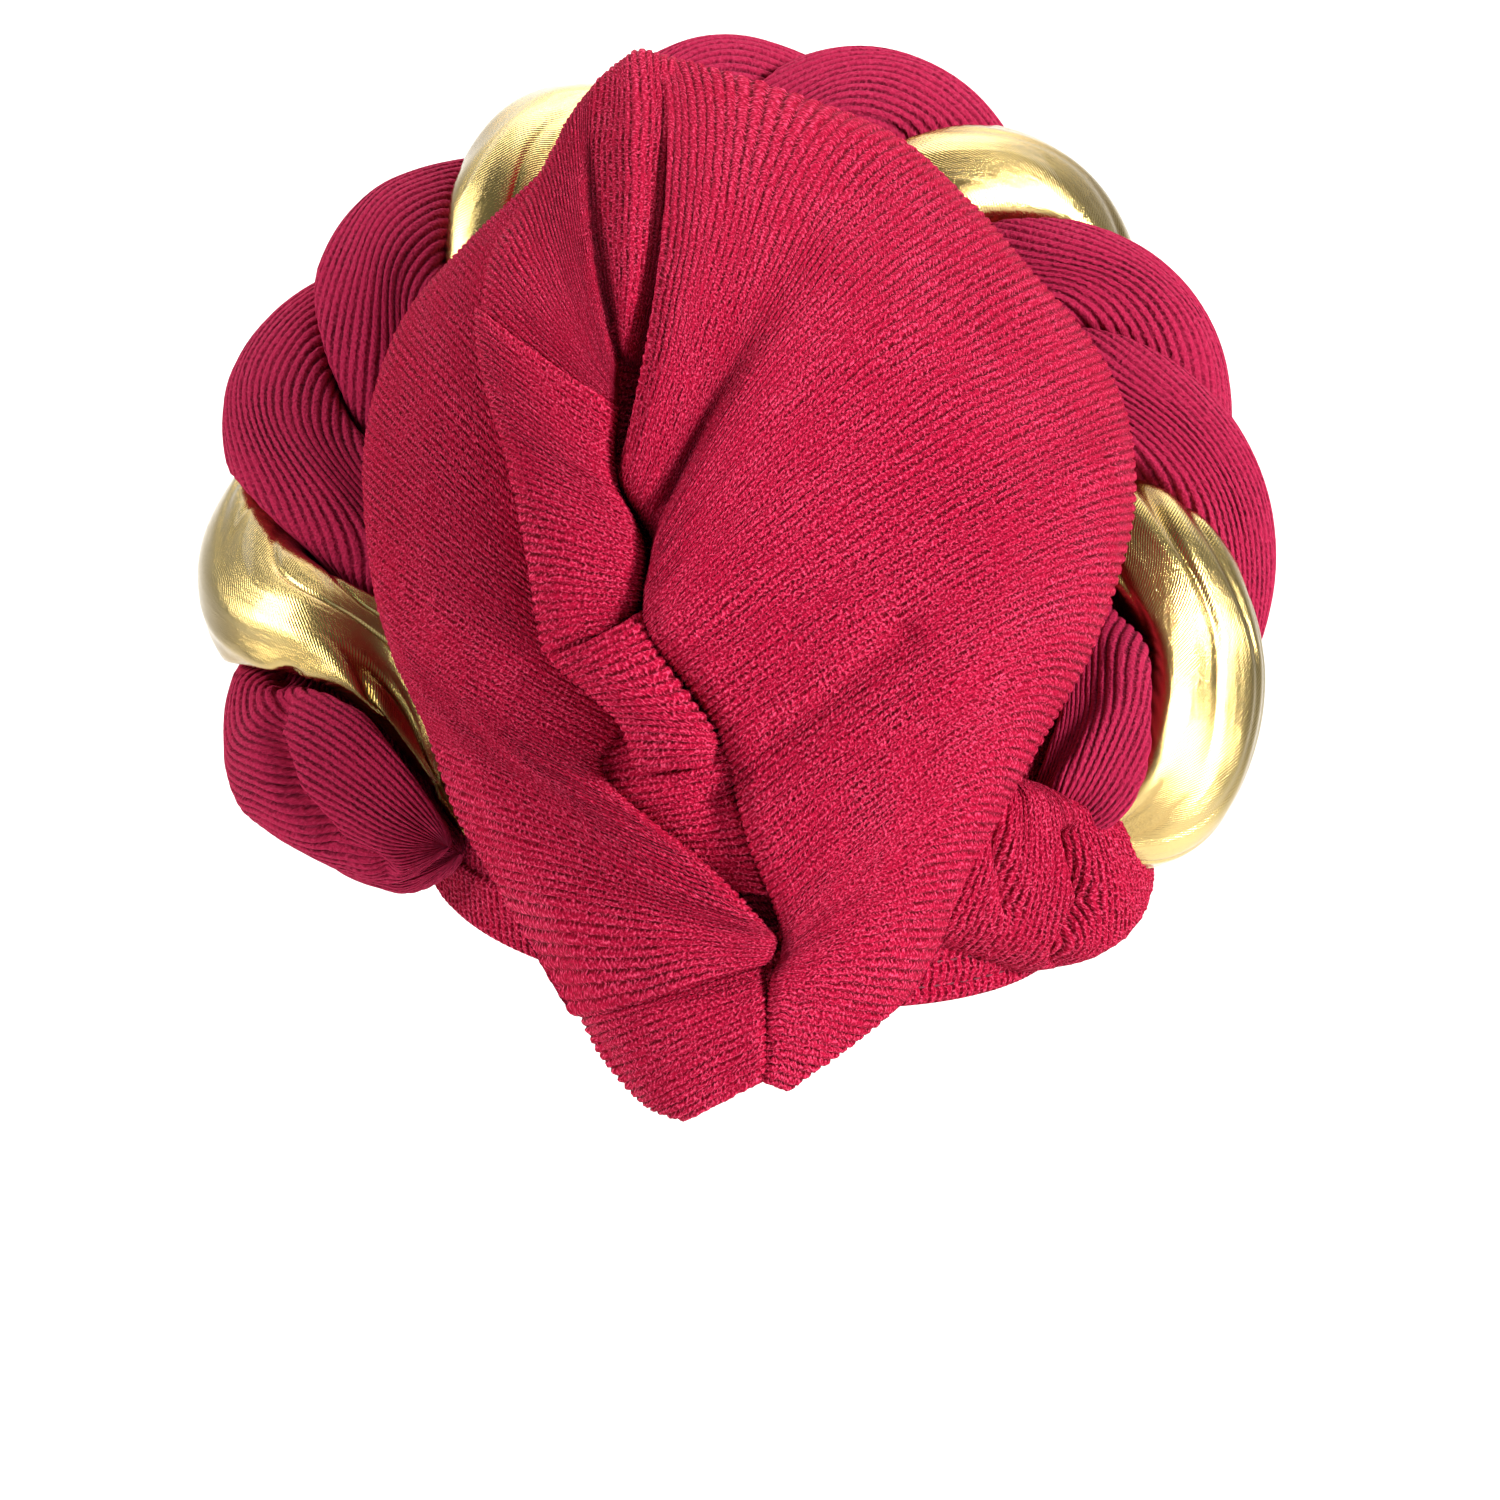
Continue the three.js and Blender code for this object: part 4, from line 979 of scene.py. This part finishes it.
def sewn_place(rim):
    """Place on the cap where the cloth that turns under the rim is sewn on."""
    z = np.clip(rim[..., 2], TURN_FROM + TURN_OVER, TURN_HIGHEST)
    half, back, _ = cap_outline(z, -TURN_GAP)
    angle = np.arctan2((rim[..., 1] - TURN_LEAN) / back, rim[..., 0] / half)
    share = np.clip((rim[..., 2] - TURN_FROM) / TURN_OVER, TURN_LEAST, 1)[..., None]
    return between(rim, cap_point(angle, z, -TURN_GAP), share)


def folded_points(ribs, u, v):
    """Points of a panel with a sharp rim: u is 0 at the seam, 1 at the ridge, 2 at the rim and 3 where the
    turned cloth ends; v runs from the first rib guide to the last."""
    u, v = np.broadcast_arrays(u, v)
    from_x, from_z, to_x, to_z, rim_x, rim_z, bow, *lift = columns_at(ribs, v * (len(ribs) - 1))
    t = np.minimum(u, 1)
    bulge = bow * hump(t)
    length = np.maximum(np.hypot(to_x - from_x, to_z - from_z), LEAST_LENGTH)
    x = between(from_x, to_x, t) - (to_z - from_z) / length * bulge
    z = between(from_z, to_z, t) + (to_x - from_x) / length * bulge
    rise = between(lift[0], lift[2], t) + (lift[1] - (lift[0] + lift[2]) / 2) * hump(t)
    rise = rise - crease_depth(CREASES, x, z)
    out = np.clip(u - 1, 0, 1)
    x = x + (rim_x - to_x) * out
    z = z + (rim_z - to_z) * out
    place = seen(x, z, drape_form(x, z) - rise * (1 - out))
    turn = np.clip(u - 2, 0, 1)[..., None]
    return between(place, sewn_place(place), turn)


def panel_points(ribs, u, v):
    """Points of a panel with its ridge and its rim rounded over."""
    u, v = np.broadcast_arrays(u, v)
    place = folded_points(ribs, u, v)
    for corner, before, after in (
        (1, RIDGE_ROUND_INSIDE, RIDGE_ROUND_OUTSIDE), (2, RIM_ROUND_OUTSIDE, RIM_ROUND_UNDER),
    ):
        t = (0.5 + (u - corner) / np.where(u < corner, before, after) / 2)[..., None]
        stops = (corner - before, corner, corner + after)
        near, middle, far = [folded_points(ribs, 0 * u + at, v) for at in stops]
        rounded = (1 - t) ** 2 * near + 2 * t * (1 - t) * middle + t ** 2 * far
        place = np.where((t > 0) & (t < 1), rounded, place)
    return place


def edge_drop(distance, radius):
    """Drop of a rounded edge at a distance from it."""
    inside = np.clip(radius - distance, 0, radius)
    return radius - np.sqrt(np.maximum(radius * radius - inside * inside, 0))


def run_on(grid, axis, end, steps, shift, bend):
    """A grid with extra rows or columns past one edge, moved on evenly by shift and ever more by bend."""
    edge = np.take(grid, [end], axis=axis)
    shares = np.arange(1, steps + 1) / steps
    extra = [edge + np.multiply(shift, share) + np.multiply(bend, share ** 2) for share in shares]
    parts = extra[::-1] + [grid] if end == 0 else [grid] + extra
    return np.concatenate(parts, axis=axis)


def add_panel(cloth_mesh, shape, edges, tuck, columns, seed, turned=False, pucker=0.0, relief=RIB_RELIEF):
    """Adds one pleat or panel to a cloth. shape gives its points from u and v. edges are the radii that
    round it at the seam (spread over its ribs), at the far edge, and along the first and last rib (each at
    the seam and at the ridge). Past a rounded edge the cloth runs on towards the head; tuck is how far it
    does so, and how far it sinks past the far edge."""
    seam, far, first, last = edges
    depth, fall = tuck
    guide_v = np.linspace(0, 1, GUIDE_ROWS)
    guide = shape(np.linspace(GUIDE_FROM, 1, GUIDE_COLUMNS)[None, :], guide_v[:, None])
    run = running(guide, 0).mean(axis=1)
    rib_count = max(int(round(run[-1] / RIB_PITCH)), 2)
    phase = np.arange(rib_count * RIB_SAMPLES + 1) / RIB_SAMPLES
    v = np.interp(phase / rib_count * run[-1], run, guide_v)[:, None]
    u = np.linspace(0, 1, columns - (columns - 1) % SKIN_STEP)[None, :]
    if turned:
        u = np.concatenate([u[0], RIM_STEPS])[None, :]
    rib = phase[:, None]
    reach = np.minimum(u, 1) / (1 - GUIDE_FROM) * running(guide, 1)[:, -1].mean()
    waver = wander(reach, rib, SLOW_WAVER_WAVE, seed)
    waver = waver + QUICK_WAVER * wander(reach, rib, QUICK_WAVER_WAVE, seed + 1)
    step = np.gradient(v[:, 0], phase)[:, None]
    fade = np.clip(np.minimum(phase, rib_count - phase), 0, 1)[:, None]
    smooth = shape(u, np.clip(v + RIB_WAVER * waver * step * fade, 0, 1))
    along = running(smooth, 1)
    down = running(smooth, 0)
    ridge = np.minimum(u, 1)
    smooth[..., 1] += edge_drop(along, np.interp(v, np.linspace(0, 1, len(seam)), seam))
    smooth[..., 1] += edge_drop(down, between(*first, ridge))
    smooth[..., 1] += edge_drop(down[-1:] - down, between(*last, ridge))
    if not turned:
        smooth[..., 1] += edge_drop(along[:, -1:] - along, far)
    if pucker:
        fold = wander(rib, along, PUCKER_WAVE, seed + 2)
        smooth[..., 1] += pucker * fold * np.exp(-along / PUCKER_REACH) * np.clip(along / PUCKER_START, 0, 1)
    pitch = np.abs(np.gradient(down, phase, axis=0))
    knobble = wander(along, rib, KNOBBLE_WAVE, seed + 3)
    spread = np.clip(pitch / RIB_PITCH, *RIB_SPREAD)
    height = relief * spread * rib_profile(rib) * (1 + KNOBBLE * knobble)
    cloth = stacked(along / CM, rib * RIB_SPAN)
    normal = grid_normals(smooth)
    normal *= -np.sign(normal[..., 1].sum())
    for axis, end, wanted, steps, sink in (
        (1, 0, max(seam) > 0, SKIN_STEP, 0), (1, -1, far > 0 and not turned, SKIN_STEP, fall),
        (0, 0, max(first) > 0, RIB_SAMPLES, 0), (0, -1, max(last) > 0, RIB_SAMPLES, 0),
    ):
        if wanted:
            pad = padding(axis, steps, 0) if end == 0 else padding(axis, 0, steps)
            height = np.pad(height, pad, mode="edge")
            spread = np.pad(spread, pad, mode="edge")
            normal = np.pad(normal, pad + [(0, 0)], mode="edge")
            smooth = run_on(smooth, axis, end, steps, (0, depth, 0), (0, 0, -sink))
            on = -depth if end == 0 else depth
            cloth_shift = (on / CM, 0) if axis == 1 else (0, on / RIB_PITCH * RIB_SPAN)
            cloth = run_on(cloth, axis, end, steps, cloth_shift, (0, 0))
    outer = smooth + normal * height[..., None]
    inner = (smooth - normal * (CLOTH_WALL - RIB_RELIEF))[::RIB_SAMPLES, ::SKIN_STEP]
    # spread is stored as the cloth's relief, which also sets how dark the painted shade in the grooves is.
    cloth_mesh.add_sheet(outer, inner, spread, cloth, RIB_SAMPLES, SKIN_STEP)


right = ClothMesh()
add_panel(
    right, partial(panel_points, RIGHT_RIBS), edges=((9, 8, 3), 5, (7, 0.3), (3, 3)), tuck=(10, 0),
    columns=93, seed=41, turned=True, pucker=1.0,
)
drape_right = right.make("drape_right", crepe_wine)
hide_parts("drape_right_panel")
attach(drape_right, "root")

# Back drape, left panel: the other length of the same crepe, folded into pleats that all run to the
# gathered seam: the crown pleat, the upper pleat, a tongue, a tuck and the wide outer fold with its
# hanging tip. One strip of it turns in behind the seam.
# Columns of the pleats are as for the right panel, without a rim: a pleat ends in a folded edge. The crown
# pleat starts with the narrow roll beside the right panel.
CROWN_PLEAT = (
    (-30, 168, -12, 248, -3, -10, -9, 0),
    (-32, 170, -24, 252, -3, -7, -3, 2.5),
    (-34, 172, -31, 253, -1, -2, 6, 3),
    (-35, 172, -40, 246, 4, -8, -6, 3),
    (-36, 167, -47, 237, 3, -1, 4, 3),
    (-36, 164, -58, 217, 2, 1, 6, 5),
    (-36, 161, -69, 199, 1, 1, 6, 7),
    (-37, 154, -72, 178, 0, -2, 2, 5),
)
UPPER_PLEAT = (
    (-36, 160, -73, 186, 1, 4, 9, 11),
    (-37, 149, -72, 174, 1, 6, 11, 11),
    (-36, 139, -69, 161, 1, 7, 12, 11),
    (-32, 131, -65, 148, 0, 7, 12, 11),
    (-29, 123, -62, 135, 0, 6, 12, 11),
    (-29, 114, -59, 119, 0, 4, 11, 10),
    (-31, 101, -55, 93, 0, -2, 4, 5),
)
TONGUE = (
    (-29, 107, -54, 94, 1, 6, 9, 8),
    (-25, 96, -47, 88, 1, 8, 12, 10),
    (-17, 84, -40, 82, 1, 8, 13, 10),
    (-10, 74, -34, 75, 0, 6, 12, 9),
    (-10, 66, -31, 64, 0, 3, 7, 5),
)
TUCK = (
    (-6, 80, -46, 74, 0, -6, -9, -9),
    (-5, 67, -44, 60, 1, 0, -1, -5),
    (-4, 58, -34, 51, 1, -1, -1, -5),
    (1, 43, -22, 43, 0, -2, -2, -4),
    (5, 32, -10, 34, 0, -2, -2, -4),
)
TIP = (
    (2, 19, -49, 9, 0, -5, -4, -3),
    (3, 9, -41, -8, 0, 1, 1, 0),
    (3.2, 1, -34, -17, 0, 3, 2, 0),
    (3.2, -7, -28, -23, 0, 3, 2, 0),
    (3, -16, -18, -27, 0, 2, 1, 0),
)
# Columns: rows of the pleat, its edges and tuck as add_panel takes them, columns of points, seed.
LEFT_PLEATS = (
    (CROWN_PLEAT, ((5, 5), 9, (0, 0), (0, 0)), (20, 34), 45, 51),
    (UPPER_PLEAT, ((7, 7), 8, (6, 5), (5, 6)), (14, 0), 44, 52),
    (TONGUE, ((6, 6), 8, (5, 5), (8, 8)), (14, 0), 36, 53),
    (TUCK, ((4, 4), 0, (0, 0), (0, 0)), (8, 0), 28, 54),
    (TIP, ((3, 3), 6, (0, 0), (5, 5)), (3, 0), 44, 55),
)
# Strip behind the seam, with the pleats' columns.
UNDERLAY = (
    (-29, 230, -15, 228, 0, -5, -12, -16),
    (-32, 200, -17, 198, 0, -5, -13, -17),
    (-38, 174, -22, 172, 0, -5, -13, -17),
    (-44, 156, -24, 154, 0, -5, -15, -19),
    (-44, 138, -22, 134, 0, -5, -18, -21),
    (-39, 120, -19, 114, 0, -5, -14, -18),
    (-39, 107, -18, 98, 0, -5, -12, -17),
    (-30, 92, -10, 84, 0, -5, -12, -17),
    (-19, 72, -1, 66, 0, -5, -12, -16),
    (-13, 46, 4, 44, 0, -5, -11, -14),
    (-1, 24, 10, 24, 0, -5, -9, -12),
)
UNDERLAY_RELIEF = 0.3
PLEAT_PUCKER = 0.5
FLAT_EDGES = ((0, 0), 0, (0, 0), (0, 0))
# Wide outer fold, with the right panel's columns.
OUTER_RIBS = np.array([
    (-46, 212, -51, 219, -54, 223, 0, -16, -14, -10),
    (-58, 181, -71, 198, -76, 203, 0, -8, -3, 0),
    (-50, 138, -89, 175, -93, 182, 1, -12, -3, 1),
    (-43, 104, -96, 148, -102, 154, 2, -13, -1, 2),
    (-33, 80, -94, 117, -102, 125, 2, -10, 3, 2),
    (-40, 64, -82, 87, -97, 99, 1, 1, 5, 3),
    (-12, 39, -54, 59, -87, 74, 1, 5, 6, 3),
    (2, 25, -45, 43, -79, 53, 1, 6, 5, 3),
    (5.8, 21, -35, 30, -69, 36, 0, 6, 4, 2),
    (5.2, 17, -30, 16, -57, 17, -1, 5, 4, 2),
    (3.5, 14, -27, 5, -47, 0, -1, 4, 4, 1),
], dtype=float)
OUTER_EDGES = ((0, 0, 0, 0, 0, 5, 6, 6, 6, 6, 6), 5, (0, 0), (3, 0.5))


def pleat_rows(rows):
    """Rib guides of a pleat that ends in a folded edge, which stands in for its rim."""
    table = np.array(rows, dtype=float)
    return np.concatenate([table[:, :4], table[:, 2:4], table[:, 4:]], axis=1)


left = ClothMesh()
for rows, edges, tuck, columns, seed in LEFT_PLEATS:
    add_panel(left, partial(folded_points, pleat_rows(rows)), edges, tuck, columns, seed, pucker=PLEAT_PUCKER)
add_panel(
    left, partial(panel_points, OUTER_RIBS), OUTER_EDGES, tuck=(10, 0), columns=53, seed=56, turned=True,
    pucker=0.6,
)
add_panel(
    left, partial(folded_points, pleat_rows(UNDERLAY)), FLAT_EDGES, tuck=(0, 0), columns=9, seed=57,
    relief=UNDERLAY_RELIEF,
)
drape_left = left.make("drape_left", crepe_wine)
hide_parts("drape_left_panel")
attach(drape_left, "root")

# Gathered end of the braid: the wine cloth of the strands spreads out from the pinch under the braid's
# right end, and is sewn to the cap down to the hem band.
# Columns: angle round the head, height and stand-off from the cap at the pinch and at the hem, puff.
GATHER_RIBS = np.array([
    (-56, 62, 3, -66, 27, 3, 2),
    (-51, 63, 6, -58, 23, 4, 4),
    (-47, 64, 9, -50, 20, 6, 5),
    (-44, 64, 11, -42, 17, 9, 5),
    (-41, 63, 13, -34, 15, 13, 5),
    (-37, 61, 15, -26, 17, 18, 4),
    (-32, 59, 16, -18, 24, 20, 3),
    (-27, 58, 16, -11, 34, 20, 2),
], dtype=float)
GATHER_TURN = 0.16
GATHER_LEAST_GAP = 0.4
# Columns: start and end of a fold as seen from behind, its depth and its width.
GATHER_FOLDS = (
    (83, 48, 87, 31, 7.0, 2.4),
    (87, 31, 80, 17, 7.0, 2.4),
    (62, 55, 66, 30, 3.0, 2.6),
)


def gather_points(u, v):
    """Points of the gathered cloth: u runs from the pinch to the hem, v round the head."""
    u, v = np.broadcast_arrays(u, v)
    angle0, z0, off0, angle1, z1, off1, puff = columns_at(GATHER_RIBS, v * (len(GATHER_RIBS) - 1))
    under = np.sqrt(1 - np.clip((u - 1 + GATHER_TURN) / GATHER_TURN, 0, 1) ** 2)
    over = np.sqrt(1 - np.clip((GATHER_TURN - u) / GATHER_TURN, 0, 1) ** 2)
    stand_off = (between(off0, off1, u) + puff * hump(u)) * under * over
    angle = np.radians(between(angle0, angle1, u))
    z = between(z0, z1, u)
    fold = crease_depth(GATHER_FOLDS, *as_seen(cap_point(angle, z, -stand_off)))
    return cap_point(angle, z, -np.maximum(stand_off - fold, 0) - GATHER_LEAST_GAP)


gather = ClothMesh()
add_panel(gather, gather_points, FLAT_EDGES, tuck=(0, 0), columns=49, seed=61, pucker=1.2)
hem_gather = gather.make("hem_gather", crepe_wine)
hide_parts("base_cap")
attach(hem_gather, "root")

# Studio: a pale floor that sweeps up behind into a wall, with soft lights to the sides and above.
FLOOR_Z = -0.45
FLOOR_FRONT = -12.0
FLOOR_BACK = 1.4
SWEEP_RADIUS = 1.2
WALL_TOP = 12.0
WALL_HALF_WIDTH = 20.0
SWEEP_TURNS = np.radians(np.arange(5, 91, 5))
PAPER_GREY = (0.9, 0.9, 0.9, 1.0)
PAPER_ROUGHNESS = 0.9
ROOM_WHITE = (1.0, 1.0, 1.0, 1.0)
ROOM_GLOW = 0.15
sweep_line = [(FLOOR_FRONT, FLOOR_Z), (FLOOR_BACK, FLOOR_Z)]
for turn in SWEEP_TURNS:
    back = FLOOR_BACK + SWEEP_RADIUS * math.sin(turn)
    sweep_line.append((back, FLOOR_Z + SWEEP_RADIUS * (1 - math.cos(turn))))
sweep_line.append((FLOOR_BACK + SWEEP_RADIUS, WALL_TOP))
sweep_points = [(x, y, z) for y, z in sweep_line for x in (-WALL_HALF_WIDTH, WALL_HALF_WIDTH)]
sweep_faces = [(2 * i, 2 * i + 1, 2 * i + 3, 2 * i + 2) for i in range(len(sweep_line) - 1)]
sweep_mesh = bpy.data.meshes.new("studio_sweep")
sweep_mesh.from_pydata(sweep_points, [], sweep_faces)
sweep_mesh.polygons.foreach_set("use_smooth", np.ones(len(sweep_faces), dtype=bool))
sweep_mesh.materials.append(plain_material("pale_paper", PAPER_GREY, PAPER_ROUGHNESS))
sweep = add_object("studio_sweep", sweep_mesh)

# Columns: name, place, the place it looks at, size in metres, power in watts.
for name, place, aim, size, power in (
    ("key_light", (1.6, -1.35, 0.68), (0.0, 0.0, 0.1), 0.5, 78.0),
    ("fill_light", (-1.9, -0.75, 0.9), (0.0, 0.0, 0.12), 1.0, 45.0),
    ("top_light", (0.2, 0.1, 1.5), (0.0, 0.0, 0.12), 0.8, 6.0),
    ("wall_light", (0.0, 0.9, 1.9), (0.0, 2.4, 0.6), 2.4, 55.0),
):
    light_data = bpy.data.lights.new(name, "AREA")
    light_data.size = size
    light_data.energy = power
    light = add_object(name, light_data)
    light.location = place
    way = Vector(aim) - Vector(place)
    light.rotation_euler = way.to_track_quat("-Z", "Y").to_euler()

world = bpy.data.worlds.new("studio")
world.use_nodes = True
glow = world.node_tree.nodes["Background"]
glow.inputs["Color"].default_value = ROOM_WHITE
glow.inputs["Strength"].default_value = ROOM_GLOW
bpy.context.scene.world = world
bpy.context.scene.view_settings.view_transform = "Standard"
